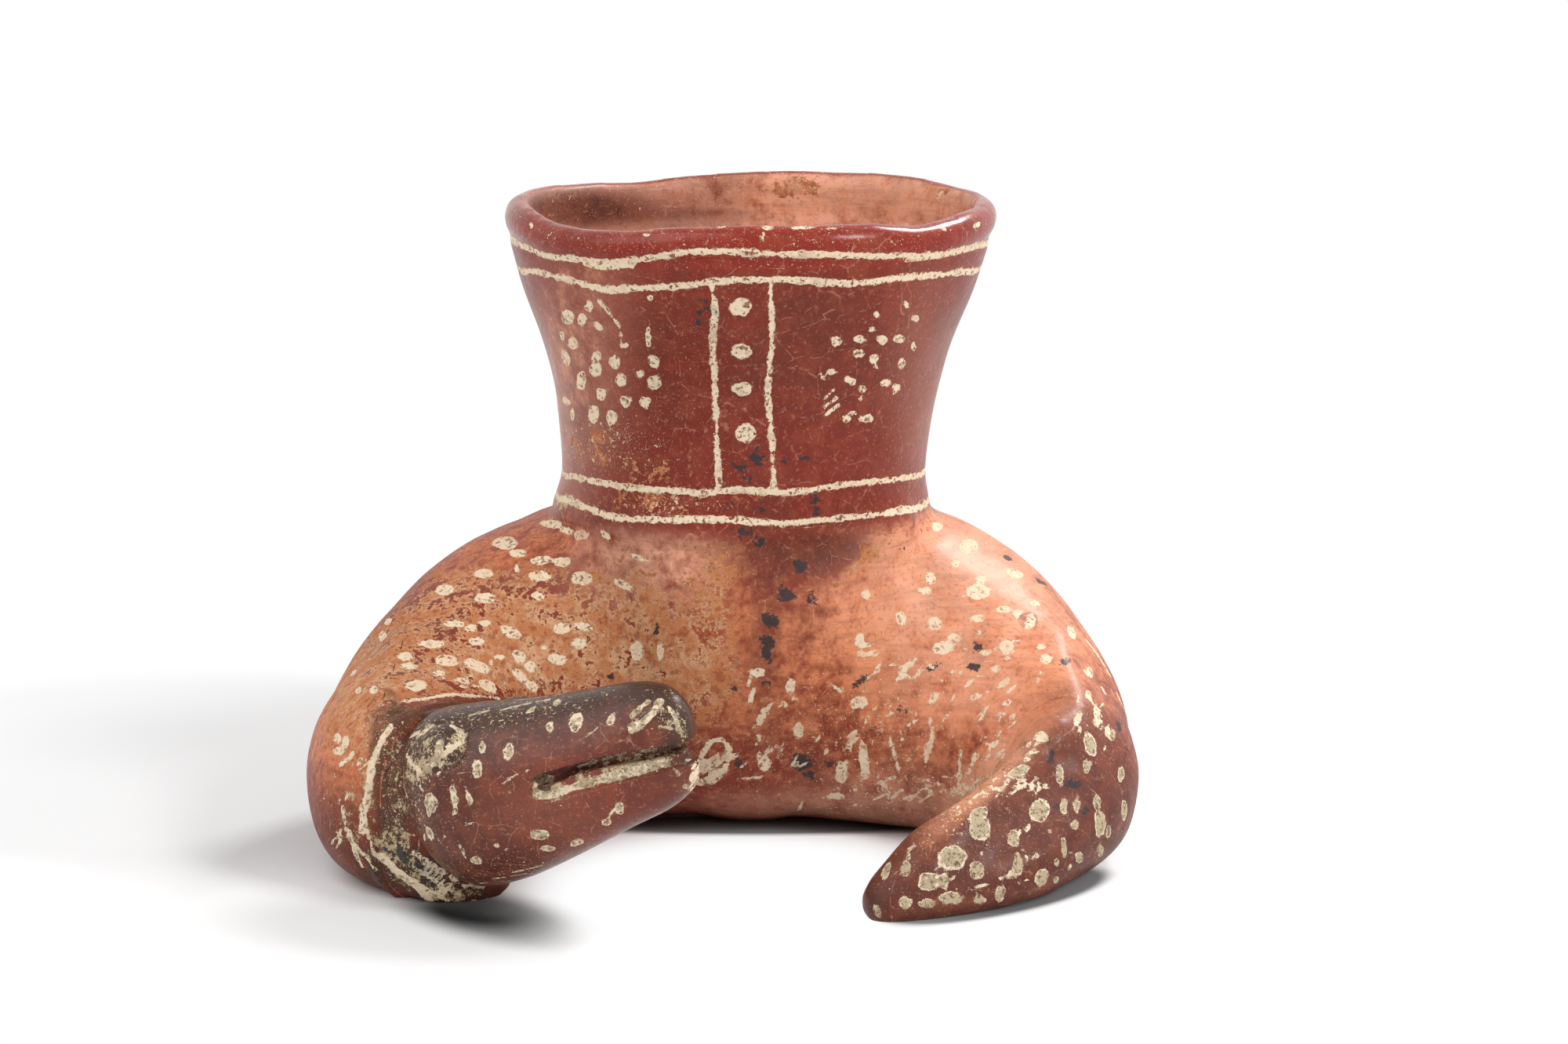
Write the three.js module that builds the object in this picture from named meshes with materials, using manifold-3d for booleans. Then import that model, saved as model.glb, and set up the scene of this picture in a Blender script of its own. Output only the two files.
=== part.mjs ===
// A serpent effigy jar of hand-built, burnished earthenware. Millimetres, +Z up, the viewer at -Y.
// The serpent's body is a hollow crescent tube that lies on the ground. Its two haunches meet under
// a flared neck. At the left it ends in a short throat that carries the head, and at the right it
// runs out in a pointed tail. Each clay section is its own solid, set against the next across a thin
// luting gap. Places are measured from the neck's axis and from the ground until the jar is centred.
import * as THREE from "three";
import { mergeVertices } from "three/addons/utils/BufferGeometryUtils.js";
import Module from "manifold-3d";

const wasm = await Module();
wasm.setup();

// The joints between the clay sections.
const LUTING_GAP = 0.3;
const CUT_OVERRUN = 20;

// The crescent body: its height and half-width at the middle, and how far its ends reach.
const BODY_HEIGHT = 93;
const BODY_HALF_WIDTH = 46;
const LEFT_REACH = 93;
const LEFT_ADVANCE = 88;
const RIGHT_REACH = 82;
const RIGHT_ADVANCE = 114;
const BODY_WALL = 6.5;
const GROUND_FLAT = 1.2;

// The neck, the fillet at its foot and its rolled lip.
const NECK_FOOT_RADIUS = 52.5;
const NECK_SEAT_DROP = 1;
const BELLY_SWELL = 2.5;
const NECK_RISE = 77;
const NECK_FLARE = 15.5;
const NECK_WALL = 6;
const SEAT_BEVEL = 4;
const FILLET_WIDTH = 2.6;
const FILLET_DROP = 4;
const FILLET_RISE = 4;
const LIP_HEIGHT = 10.5;
const LIP_THICKNESS = 9;
const RIM_WAVE = 1.3;
const RIM_CREST_COUNT = 4;
const NECK_LEAN = 1.4;

// The throat and the collar over its join.
const THROAT_ADVANCE = 14;
const THROAT_DRIFT = 9;
const COLLAR_WIDTH = 5;
const COLLAR_STANDS_PROUD = 2;

// The head.
const HEAD_LENGTH = 80;
const HEAD_HEIGHT = 59.5;
const HEAD_WIDTH = 45;
const HEAD_CLEARANCE = 5;
const HEAD_FORWARD = 22;
const HEAD_OVERHANG = 9;
const HEAD_STAND_OFF = 7;
const MOUTH_DEPTH = 7;
const EYE_RADIUS = 7.5;
const EYE_STANDS_PROUD = 2.4;

// Facet counts.
const TUBE_SIDES = 28;
const BODY_RINGS = 22;
const HEAD_RINGS = 16;
const THROAT_RINGS = 6;
const NECK_SIDES = 48;
const LIP_STEPS = 9;
const EYE_SIDES = 16;

const UP = new THREE.Vector3(0, 0, 1);
const NECK_FOOT_HEIGHT = BODY_HEIGHT - NECK_SEAT_DROP;
const BELLY_RADIUS = NECK_FOOT_RADIUS + BELLY_SWELL;

// A closed solid from a geometry's positions.
function solidFrom(geometry) {
  const bare = new THREE.BufferGeometry();
  bare.setAttribute("position", geometry.getAttribute("position"));
  bare.setIndex(geometry.getIndex());
  const merged = mergeVertices(bare);
  return new wasm.Manifold(
    new wasm.Mesh({
      numProp: 3,
      vertProperties: merged.attributes.position.array,
      triVerts: new Uint32Array(merged.index.array),
    }),
  );
}

// A geometry with flat faces from a solid.
function geometryFrom(solid) {
  const mesh = solid.getMesh();
  const geometry = new THREE.BufferGeometry();
  geometry.setAttribute("position", new THREE.BufferAttribute(mesh.vertProperties, mesh.numProp));
  geometry.setIndex(new THREE.BufferAttribute(mesh.triVerts, 1));
  const flat = geometry.toNonIndexed();
  flat.computeVertexNormals();
  return flat;
}

// A solid skin over rings of points, closed by a fan at both ends. Each ring runs clockwise as it
// is seen from the ring after it.
function loft(rings) {
  const sides = rings[0].length;
  const points = rings.flat();
  const faces = [];
  const at = (ring, side) => ring * sides + (side % sides);
  for (let ring = 0; ring + 1 < rings.length; ring++) {
    for (let side = 0; side < sides; side++) {
      const near = at(ring, side);
      const far = at(ring + 1, side + 1);
      faces.push(near, at(ring + 1, side), far);
      faces.push(near, far, at(ring, side + 1));
    }
  }
  const middleOf = (ring) =>
    ring.reduce((sum, point) => sum.add(point), new THREE.Vector3()).divideScalar(sides);
  const last = rings.length - 1;
  const firstMiddle = points.push(middleOf(rings[0])) - 1;
  const lastMiddle = points.push(middleOf(rings[last])) - 1;
  for (let side = 0; side < sides; side++) {
    faces.push(firstMiddle, at(0, side), at(0, side + 1));
    faces.push(lastMiddle, at(last, side + 1), at(last, side));
  }
  const geometry = new THREE.BufferGeometry().setFromPoints(points);
  geometry.setIndex(faces);
  return solidFrom(geometry);
}

// Everything on one side of a plane, as a block that outruns the whole jar.
function halfSpace(point, normal) {
  const size = 4 * (LEFT_REACH + RIGHT_ADVANCE + BODY_HEIGHT);
  const block = new THREE.BoxGeometry(size, size, size);
  block.translate(0, 0, size / 2);
  block.applyQuaternion(new THREE.Quaternion().setFromUnitVectors(UP, normal));
  block.translate(point.x, point.y, point.z);
  return solidFrom(block);
}

// A solid of revolution about the neck's axis, from [radius, height] points that run upwards.
function turned(profile) {
  const outline = profile.map(([radius, height]) => new THREE.Vector2(radius, height));
  return new THREE.LatheGeometry(outline, NECK_SIDES).rotateX(Math.PI / 2);
}

const smoothThrough = (rows) =>
  new THREE.CatmullRomCurve3(rows.map((row) => new THREE.Vector3(...row)), false, "catmullrom");

const signedPower = (value, power) => Math.sign(value) * Math.abs(value) ** power;

const aboveGround = halfSpace(new THREE.Vector3(), UP);

// The body's stations, from the end of the left arm round the back to the tip of the tail.
// Each row: reach share, advance share, half-width share, half-height share, crest share.
// Advance grows towards the viewer, and the crest share pinches the top of a section to a ridge.
const leftStationShares = [
  [0.885, 1.0, 0.41, 0.55, 0],
  [0.955, 0.885, 0.56, 0.57, 0.1],
  [0.985, 0.7, 0.64, 0.62, 0.25],
  [0.96, 0.52, 0.69, 0.69, 0.3],
  [0.86, 0.28, 0.78, 0.81, 0.2],
  [0.66, 0.08, 0.91, 0.925, 0.08],
  [0.34, -0.05, 1, 0.985, 0],
];
const centreStationShares = [0, -0.08, 1, 1, 0];
const rightStationShares = [
  [0.34, -0.045, 1, 0.985, 0],
  [0.7, 0.07, 0.92, 0.93, 0.12],
  [0.92, 0.23, 0.75, 0.8, 0.28],
  [1.02, 0.38, 0.58, 0.66, 0.38],
  [1.07, 0.53, 0.47, 0.5, 0.32],
  [0.98, 0.68, 0.42, 0.41, 0.3],
  [0.81, 0.82, 0.37, 0.32, 0.3],
  [0.61, 0.92, 0.29, 0.235, 0.25],
  [0.47, 0.98, 0.18, 0.15, 0.15],
  [0.4, 1.0, 0.07, 0.09, 0],
];
const LEFT_END_STATION = 0;
const CENTRE_STATION = leftStationShares.length;
const RIGHT_KNEE_STATION = CENTRE_STATION + 5;
const TAIL_HOLLOW_STATION = RIGHT_KNEE_STATION + 2.2;

const halfHeight = BODY_HEIGHT / 2;
const stations = [
  ...leftStationShares.map((row) => ({ row, reach: -LEFT_REACH, advance: LEFT_ADVANCE })),
  { row: centreStationShares, reach: 0, advance: RIGHT_ADVANCE },
  ...rightStationShares.map((row) => ({ row, reach: RIGHT_REACH, advance: RIGHT_ADVANCE })),
];
const lastStation = stations.length - 1;
const bodySpine = smoothThrough(
  stations.map(({ row, reach, advance }) => [
    row[0] * reach,
    -row[1] * advance,
    row[3] * halfHeight - GROUND_FLAT,
  ]),
);
const bodyGirth = smoothThrough(
  stations.map(({ row }) => [row[2] * BODY_HALF_WIDTH, row[3] * halfHeight, row[4]]),
);

// How square an oval section is, and how sharply its crest rises.
const OVAL_POWER = 2.45;
const CREST_POWER = 1.4;

// The points of one upright oval across a heading, pinched towards its crest.
function oval(centre, heading, halfWidth, halfRise, crest) {
  const side = new THREE.Vector3(heading.y, -heading.x, 0);
  return Array.from({ length: TUBE_SIDES }, (_, index) => {
    const angle = (index / TUBE_SIDES) * 2 * Math.PI;
    const rise = signedPower(Math.sin(angle), 2 / OVAL_POWER);
    const pinch = 1 - crest * Math.max(0, rise) ** CREST_POWER;
    const out = signedPower(Math.cos(angle), 2 / OVAL_POWER) * pinch;
    return centre
      .clone()
      .addScaledVector(side, out * halfWidth)
      .addScaledVector(UP, rise * halfRise);
  });
}

// The middle, the level heading and the girth of the body at a station number.
function bodyAt(station) {
  const share = station / lastStation;
  const heading = bodySpine.getTangent(share).setZ(0).normalize();
  return { middle: bodySpine.getPoint(share), heading, girth: bodyGirth.getPoint(share) };
}

function bodyRing(station, inset) {
  const { middle, heading, girth } = bodyAt(station);
  return oval(middle, heading, girth.x - inset, girth.y - inset, girth.z);
}

// A length of the body between two stations, drawn in by inset.
function bodyLength(from, to, inset) {
  const count = Math.max(3, Math.round(((to - from) / lastStation) * BODY_RINGS));
  return loft(
    Array.from({ length: count + 1 }, (_, index) => bodyRing(from + (index / count) * (to - from), inset)),
  );
}

// What lies beyond the seam at a station, from half a luting gap on. Forwards is towards the tail.
function beyondSeam(station, forwards) {
  const { middle, heading } = bodyAt(station);
  const direction = heading.multiplyScalar(forwards ? 1 : -1);
  return halfSpace(middle.addScaledVector(direction, LUTING_GAP / 2), direction);
}

// The left arm's end: the place, the way it faces, and its oval, slid out by shift.
const armEnd = bodyAt(LEFT_END_STATION);
const outOfArm = armEnd.heading.clone().negate();
const armEndRing = (grow, shift) =>
  bodyRing(LEFT_END_STATION, -grow).map((point) => point.addScaledVector(outOfArm, shift));

// The belly: a turned swelling under the neck, which joins the two haunches and carries the neck.
const bellyShares = [
  [0.45, 0],
  [0.74, 0.12],
  [0.91, 0.3],
  [1, 0.54],
  [0.99, 0.78],
];
function belly(inset, top) {
  const side = bellyShares.map(([radius, height]) => [
    radius * BELLY_RADIUS - inset,
    Math.max(height * NECK_FOOT_HEIGHT, inset),
  ]);
  const rim = NECK_FOOT_RADIUS - inset;
  return solidFrom(turned([[0, side[0][1]], ...side, [rim, NECK_FOOT_HEIGHT], [rim, top], [0, top]]));
}

// Everything inside the walls: the tube's hollow, its way out of the left arm, and the belly's
// hollow with the way up to the neck.
const hollow = bodyLength(LEFT_END_STATION, TAIL_HOLLOW_STATION, BODY_WALL)
  .add(loft([armEndRing(-BODY_WALL, CUT_OVERRUN), armEndRing(-BODY_WALL, -BODY_WALL)]))
  .add(belly(BODY_WALL, NECK_FOOT_HEIGHT + CUT_OVERRUN));

// The bevelled seat in the shoulders, which the neck's foot fits.
const seatRadius = NECK_FOOT_RADIUS + LUTING_GAP;
const seatCutter = solidFrom(
  turned([
    [0, NECK_FOOT_HEIGHT - SEAT_BEVEL],
    [NECK_FOOT_RADIUS - NECK_WALL, NECK_FOOT_HEIGHT - SEAT_BEVEL],
    [seatRadius, NECK_FOOT_HEIGHT],
    [seatRadius, NECK_FOOT_HEIGHT + CUT_OVERRUN],
    [0, NECK_FOOT_HEIGHT + CUT_OVERRUN],
  ]),
);

// The outside of the tube and the belly, grown by a gap where a neighbour is fitted to it.
const bodyOutside = (grow) =>
  bodyLength(LEFT_END_STATION, lastStation, -grow).add(belly(-grow, NECK_FOOT_HEIGHT));
const shell = bodyOutside(0).subtract(hollow).subtract(seatCutter).intersect(aboveGround);

const leftHaunch = () => shell.intersect(beyondSeam(CENTRE_STATION, false));
const rightHaunch = () =>
  shell.intersect(beyondSeam(CENTRE_STATION, true)).intersect(beyondSeam(RIGHT_KNEE_STATION, false));
const tailCone = () =>
  bodyLength(RIGHT_KNEE_STATION, lastStation, 0)
    .subtract(hollow)
    .intersect(beyondSeam(RIGHT_KNEE_STATION, true))
    .intersect(aboveGround);

// The rim isn't level: it stands highest at the front, the back and the sides, and it leans to the
// right.
function rimWave(geometry) {
  const position = geometry.getAttribute("position");
  for (let index = 0; index < position.count; index++) {
    const height = position.getZ(index);
    const risen = THREE.MathUtils.clamp((height - NECK_FOOT_HEIGHT) / NECK_RISE, 0, 1) ** 2;
    const angle = Math.atan2(position.getY(index), position.getX(index));
    position.setX(index, position.getX(index) + risen * NECK_LEAN);
    position.setZ(index, height + risen * RIM_WAVE * Math.cos(RIM_CREST_COUNT * angle));
  }
  return geometry;
}

// The neck: shares of the flare against shares of the rise, from the foot.
const neckShares = [
  [-0.03, 0.09],
  [0, 0.22],
  [0.1, 0.37],
  [0.26, 0.52],
  [0.5, 0.67],
  [0.78, 0.82],
  [1, 0.97],
];
const neckOutside = neckShares.map(([flare, rise]) => [
  NECK_FOOT_RADIUS + flare * NECK_FLARE,
  NECK_FOOT_HEIGHT + rise * NECK_RISE,
]);
const [neckTopRadius, neckTopHeight] = neckOutside[neckOutside.length - 1];

function neckWall() {
  const foot = NECK_FOOT_HEIGHT + LUTING_GAP;
  const footInside = [NECK_FOOT_RADIUS - NECK_WALL, foot - SEAT_BEVEL];
  const inside = neckOutside.map(([radius, height]) => [radius - NECK_WALL, height]).reverse();
  return solidFrom(
    rimWave(turned([footInside, [NECK_FOOT_RADIUS, foot], ...neckOutside, ...inside, footInside])),
  );
}

// The lip: a thick coil, flat where it sits on the neck. Its round runs from under its outer side,
// over the top, to under its inner side, in shares of a half turn.
const lipArcShares = { start: -0.25, sweep: 1.5 };
function rolledLip() {
  const seat = neckTopHeight + LUTING_GAP;
  const middle = neckTopRadius - NECK_WALL / 2;
  const round = Array.from({ length: LIP_STEPS + 1 }, (_, index) => {
    const angle = (lipArcShares.start + (lipArcShares.sweep * index) / LIP_STEPS) * Math.PI;
    return [
      middle + (Math.cos(angle) * LIP_THICKNESS) / 2,
      seat + ((1 + Math.sin(angle)) * LIP_HEIGHT) / 2,
    ];
  });
  const seatInside = [neckTopRadius - NECK_WALL, seat];
  return solidFrom(rimWave(turned([seatInside, [neckTopRadius, seat], ...round, seatInside])));
}

// The fillet: a coil smoothed into the crease at the neck's foot, widest over the haunches. Its
// profile: shares of its width against shares of its height.
const filletShares = [
  [0, 0],
  [1, 0],
  [0.5, 0.625],
  [0.167, 1],
  [0, 1],
  [0, 0],
];
const FILLET_FRONT_WIDTH_SHARE = 0.5;
function neckFillet() {
  const inside = NECK_FOOT_RADIUS + LUTING_GAP;
  const foot = NECK_FOOT_HEIGHT - FILLET_DROP;
  const ring = turned(
    filletShares.map(([width, height]) => [
      inside + width * FILLET_WIDTH,
      foot + height * (FILLET_DROP + FILLET_RISE),
    ]),
  );
  const position = ring.getAttribute("position");
  for (let index = 0; index < position.count; index++) {
    const point = new THREE.Vector3().fromBufferAttribute(position, index);
    const radius = Math.hypot(point.x, point.y);
    const sideways = (point.x / radius) ** 2;
    const widthShare = THREE.MathUtils.lerp(FILLET_FRONT_WIDTH_SHARE, 1, sideways);
    const drawnIn = (inside + (radius - inside) * widthShare) / radius;
    position.setXY(index, point.x * drawnIn, point.y * drawnIn);
  }
  return solidFrom(ring).subtract(bodyOutside(LUTING_GAP));
}

// The throat's stations beyond the arm's end: advance, drift, half-width and half-height shares.
const throatShares = [
  [0, 0, 0.93, 0.95],
  [0.4, 0.1, 0.94, 0.9],
  [0.75, 0.45, 0.84, 0.72],
  [1, 0.8, 0.5, 0.42],
];
const throatPath = smoothThrough(throatShares.map(([advance, drift]) => [advance, drift, 0]));
const throatGirth = smoothThrough(throatShares.map((row) => [row[2], row[3], 0]));
const acrossArm = new THREE.Vector3(-outOfArm.y, outOfArm.x, 0);

function throatOutside(grow) {
  const rings = Array.from({ length: THROAT_RINGS + 1 }, (_, index) => {
    const share = index / THROAT_RINGS;
    const { x: advance, y: drift } = throatPath.getPoint(share);
    const { x: width, y: height } = throatGirth.getPoint(share);
    const halfRise = height * armEnd.girth.y;
    const centre = new THREE.Vector3(armEnd.middle.x, armEnd.middle.y, halfRise - GROUND_FLAT)
      .addScaledVector(outOfArm, LUTING_GAP / 2 - grow + advance * (THROAT_ADVANCE + 2 * grow))
      .addScaledVector(acrossArm, drift * THROAT_DRIFT);
    return oval(centre, outOfArm, width * armEnd.girth.x + grow, halfRise + grow, 0);
  });
  return loft(rings);
}
const throat = () => throatOutside(0).intersect(aboveGround);

// The collar: shares of its width beyond the arm's end, against shares of how proud it stands.
const collarShares = [
  [-0.65, 0.3],
  [-0.3, 0.9],
  [0.05, 1],
  [0.35, 0.3],
];
function collarOutside(grow) {
  const rings = collarShares.map(([along, proud], index) => {
    const outwards = index === 0 ? -grow : index === collarShares.length - 1 ? grow : 0;
    return armEndRing(proud * COLLAR_STANDS_PROUD + grow + LUTING_GAP, along * COLLAR_WIDTH + outwards);
  });
  return loft(rings.reverse());
}
const throatCollar = () =>
  collarOutside(0)
    .subtract(loft([armEndRing(LUTING_GAP, COLLAR_WIDTH), armEndRing(LUTING_GAP, -COLLAR_WIDTH)]))
    .subtract(bodyOutside(LUTING_GAP))
    .intersect(aboveGround);

// The head's stations, from the back to the snout: length, top, bottom, half-width and forward
// shares.
const headShares = [
  [0, 0.58, 0.42, 0.14, 0],
  [0.03, 0.68, 0.28, 0.48, 0.03],
  [0.11, 0.785, 0.11, 0.82, 0.1],
  [0.25, 0.855, 0.01, 1, 0.25],
  [0.42, 0.895, 0.05, 0.97, 0.42],
  [0.6, 0.945, 0.16, 0.86, 0.6],
  [0.78, 0.99, 0.28, 0.72, 0.79],
  [0.9, 0.98, 0.37, 0.58, 0.9],
  [0.97, 0.89, 0.46, 0.4, 0.97],
  [1, 0.76, 0.56, 0.16, 1],
];
const headLengths = smoothThrough(headShares.map((row) => [row[0], row[4], row[3]]));
const headHeights = smoothThrough(headShares.map((row) => [row[1], row[2], 0]));
const headBack = new THREE.Vector3(
  armEnd.middle.x - HEAD_OVERHANG,
  armEnd.middle.y - HEAD_STAND_OFF,
  HEAD_CLEARANCE,
);
const LEAST_CORE_SHARE = 0.3;

// The middle, half-rise and half-width of the head at a share of its length.
function headAt(share) {
  const { x: length, y: forward, z: width } = headLengths.getPoint(share);
  const { x: top, y: bottom } = headHeights.getPoint(share);
  const middle = new THREE.Vector3(
    length * HEAD_LENGTH,
    -forward * HEAD_FORWARD,
    ((top + bottom) / 2) * HEAD_HEIGHT,
  ).add(headBack);
  return { middle, halfRise: ((top - bottom) / 2) * HEAD_HEIGHT, halfWidth: (width * HEAD_WIDTH) / 2 };
}

// A point on the head's skin at a share of its length and an angle from the viewer's side to the top.
function onHead(share, angle, grow) {
  const { middle, halfRise, halfWidth } = headAt(share);
  const grown = (half) => Math.max(half + grow, half * LEAST_CORE_SHARE);
  return middle
    .add(new THREE.Vector3((2 * share - 1) * grow, 0, 0))
    .add(new THREE.Vector3(0, -Math.cos(angle) * grown(halfWidth), Math.sin(angle) * grown(halfRise)));
}

const headForm = (grow) =>
  loft(
    Array.from({ length: HEAD_RINGS + 1 }, (_, ring) =>
      Array.from({ length: TUBE_SIDES }, (_, index) =>
        onHead(ring / HEAD_RINGS, (index / TUBE_SIDES) * 2 * Math.PI, grow),
      ),
    ),
  );

// The mouth's outline, as shares of the head's length and height, from the snout back and round.
const mouthShares = [
  [1, 0.7],
  [0.88, 0.71],
  [0.74, 0.69],
  [0.6, 0.63],
  [0.5, 0.56],
  [0.49, 0.5],
  [0.6, 0.53],
  [0.74, 0.585],
  [0.88, 0.61],
  [1, 0.61],
];

// A groove round the snout, cut into the head as deep as the mouth.
function mouthCut() {
  const points = mouthShares.map(([length, height]) => {
    const beyondSnout = length === 1 ? CUT_OVERRUN : 0;
    return new THREE.Vector2(length * HEAD_LENGTH + beyondSnout, height * HEAD_HEIGHT);
  });
  const depth = HEAD_WIDTH + HEAD_FORWARD + 2 * CUT_OVERRUN;
  const slab = new THREE.ExtrudeGeometry(new THREE.Shape(points), { depth, bevelEnabled: false });
  slab.rotateX(Math.PI / 2);
  slab.translate(headBack.x, headBack.y + HEAD_WIDTH / 2 + CUT_OVERRUN, headBack.z);
  return solidFrom(slab).subtract(headForm(-MOUTH_DEPTH));
}

const head = () =>
  headForm(0)
    .subtract(mouthCut())
    .subtract(bodyOutside(LUTING_GAP))
    .subtract(throatOutside(LUTING_GAP))
    .subtract(collarOutside(LUTING_GAP));

// An eye: a clay pellet pressed on the head, so only its proud cap is left.
function eye(share, angle) {
  const skin = onHead(share, angle, 0);
  const outwards = onHead(share, angle, EYE_RADIUS).sub(skin).normalize();
  const ball = new THREE.SphereGeometry(EYE_RADIUS, EYE_SIDES, EYE_SIDES / 2);
  skin.addScaledVector(outwards, EYE_STANDS_PROUD - EYE_RADIUS);
  ball.translate(skin.x, skin.y, skin.z);
  return solidFrom(ball).subtract(headForm(LUTING_GAP)).subtract(collarOutside(LUTING_GAP));
}

// Where each eye sits: share of the head's length, and share of a half turn over the head.
const rightEyeShares = [0.25, 0.25];
const leftEyeShares = [0.42, 0.72];

const clay = (color, roughness) => new THREE.MeshStandardMaterial({ color, roughness, metalness: 0 });
const redSlip = clay(0x8c3e30, 0.42);
const orangeSlip = clay(0xb9653f, 0.5);
const smokedSlip = clay(0x5f342c, 0.42);
const grime = clay(0xb3a78a, 0.8);

function piece(name, solid, material) {
  const mesh = new THREE.Mesh(geometryFrom(solid), material);
  mesh.name = name;
  return mesh;
}

const pieces = new THREE.Group();
pieces.add(
  piece("left_haunch", leftHaunch(), orangeSlip),
  piece("right_haunch", rightHaunch(), orangeSlip),
  piece("tail_cone", tailCone(), smokedSlip),
  piece("throat", throat(), smokedSlip),
  piece("throat_collar", throatCollar(), grime),
  piece("head", head(), smokedSlip),
  piece("eye_right", eye(rightEyeShares[0], rightEyeShares[1] * Math.PI), grime),
  piece("eye_left", eye(leftEyeShares[0], leftEyeShares[1] * Math.PI), grime),
  piece("neck_fillet", neckFillet(), grime),
  piece("neck_wall", neckWall(), redSlip),
  piece("rolled_lip", rolledLip(), redSlip),
);

// The jar stands on the ground with the middle of its box over the origin.
const box = new THREE.Box3().setFromObject(pieces);
const middle = box.getCenter(new THREE.Vector3());
pieces.position.set(-middle.x, -middle.y, -box.min.z);
const jar = new THREE.Group();
jar.add(pieces);

export default jar;
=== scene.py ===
"""A serpent effigy jar of hand-built, burnished earthenware, dressed around its fixed frame.

The jar's clay is modelled as one skin, hollow as a pot is, and cut along the potter's joins into the
pieces of the frame. Cream paint, wear and stains are laid on the skin as attributes, at places read
from the photograph and cast from its camera on to the clay. Metres, +Z up, the viewer at -Y.
"""

import math

import bmesh
import bpy
import numpy as np
from bpy.props import FloatProperty, FloatVectorProperty, PointerProperty
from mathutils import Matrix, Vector, noise
from mathutils.bvhtree import BVHTree


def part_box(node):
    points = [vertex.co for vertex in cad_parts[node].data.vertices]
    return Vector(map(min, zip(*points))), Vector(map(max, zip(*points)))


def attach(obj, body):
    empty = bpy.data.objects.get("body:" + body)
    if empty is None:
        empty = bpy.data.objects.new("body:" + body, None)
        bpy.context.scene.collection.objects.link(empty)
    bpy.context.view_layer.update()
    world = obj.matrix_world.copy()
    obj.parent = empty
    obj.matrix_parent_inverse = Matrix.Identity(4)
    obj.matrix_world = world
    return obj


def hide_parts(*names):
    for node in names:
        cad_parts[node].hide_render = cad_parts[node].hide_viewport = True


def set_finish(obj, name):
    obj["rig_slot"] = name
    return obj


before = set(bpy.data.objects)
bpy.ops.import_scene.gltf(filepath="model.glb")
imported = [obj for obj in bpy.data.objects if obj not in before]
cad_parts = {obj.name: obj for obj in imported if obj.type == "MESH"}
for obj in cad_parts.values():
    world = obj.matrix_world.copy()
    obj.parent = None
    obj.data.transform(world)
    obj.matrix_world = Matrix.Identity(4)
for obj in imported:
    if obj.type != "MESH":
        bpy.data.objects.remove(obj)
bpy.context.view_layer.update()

bl_info = {
    "name": "Serpent Effigy Jar",
    "version": (1, 0, 0),
    "blender": (4, 5, 0),
    "location": "View3D > Sidebar > Effigy Jar",
    "description": "Models and finishes a hand-built serpent effigy jar around its frame",
    "category": "Add Mesh",
}

MM = 0.001
SKIN = "jar_skin"
BODY_FORM = "jar_body_form"
HEAD_FORM = "jar_head_form"

# Places of the frame that the clay is built to.
FILLET_LOW, FILLET_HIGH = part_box("neck_fillet")
NECK_AXIS = Vector(((FILLET_LOW.x + FILLET_HIGH.x) / 2, (FILLET_LOW.y + FILLET_HIGH.y) / 2, 0))
SHOULDER_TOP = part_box("left_haunch")[1].z
LIP_SEAM = (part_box("neck_wall")[1].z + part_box("rolled_lip")[0].z) / 2
RIM_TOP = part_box("rolled_lip")[1].z


def millimetres(name, description, amount):
    """A property for a length, with its default in millimetres."""
    return FloatProperty(name=name, description=description, default=amount * MM, unit="LENGTH")


class JarBodySizes(bpy.types.PropertyGroup):
    """Sizes of the crescent body, measured from the neck's axis."""

    height: millimetres("Body height", "Height of the thickest part", 93)
    half_width: millimetres("Half width", "Half the width of the thickest part", 46)
    left_reach: millimetres("Left reach", "How far the left arm swings out", 93)
    left_advance: millimetres("Left advance", "How far the left arm comes forward", 88)
    right_reach: millimetres("Right reach", "How far the right arm swings out", 82)
    right_advance: millimetres("Right advance", "How far the tail comes forward", 114)
    wall: millimetres("Wall", "Thickness of the body's clay", 6.5)
    ground_flat: millimetres("Ground flat", "Depth worn flat underneath", 1.2)
    belly_swell: millimetres("Belly swell", "How far the belly swells past the neck's foot", 2.5)
    throat_length: millimetres("Throat length", "From the left arm's end to the throat's tip", 14)
    collar_proud: millimetres("Collar height", "How proud the coil at the throat stands", 2.2)
    coarse_grain: millimetres("Coarse grain", "Cell size while creases are filled", 2.4)
    grain: millimetres("Grain", "Cell size of the finished skin", 0.99)


class JarNeckSizes(bpy.types.PropertyGroup):
    """Sizes of the neck and its lip."""

    foot_radius: millimetres("Foot radius", "Radius of the neck's foot", 52.5)
    flare: millimetres("Flare", "How far the neck widens to its top", 15.8)
    wall: millimetres("Wall", "Thickness of the neck's clay", 6)
    lip_height: millimetres("Lip height", "Height of the rolled lip", 10.5)
    lip_thickness: millimetres("Lip thickness", "Thickness of the rolled lip", 9.6)
    lean: millimetres("Lean", "How far the rim leans to the right", 1.4)
    foot_slip: millimetres("Foot slip", "How far the foot slipped to the left", 0.8)


class JarHeadSizes(bpy.types.PropertyGroup):
    """Sizes of the serpent's head."""

    length: millimetres("Length", "Back to snout", 80)
    height: millimetres("Height", "Throat to crown", 59.5)
    width: millimetres("Width", "Widest, at the eyes", 45)
    forward: millimetres("Forward", "How far the snout comes forward", 22)
    mouth_depth: millimetres("Mouth depth", "Depth of the mouth's groove", 5.5)
    eye_radius: millimetres("Eye radius", "Radius of an eye's pellet", 8)
    eye_proud: millimetres("Eye height", "How far an eye stands out", 3.1)
    eye_groove: millimetres("Eye groove", "Radius of the groove round an eye", 1.6)
    grain: millimetres("Grain", "Cell size of the head's skin", 0.55)


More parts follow.
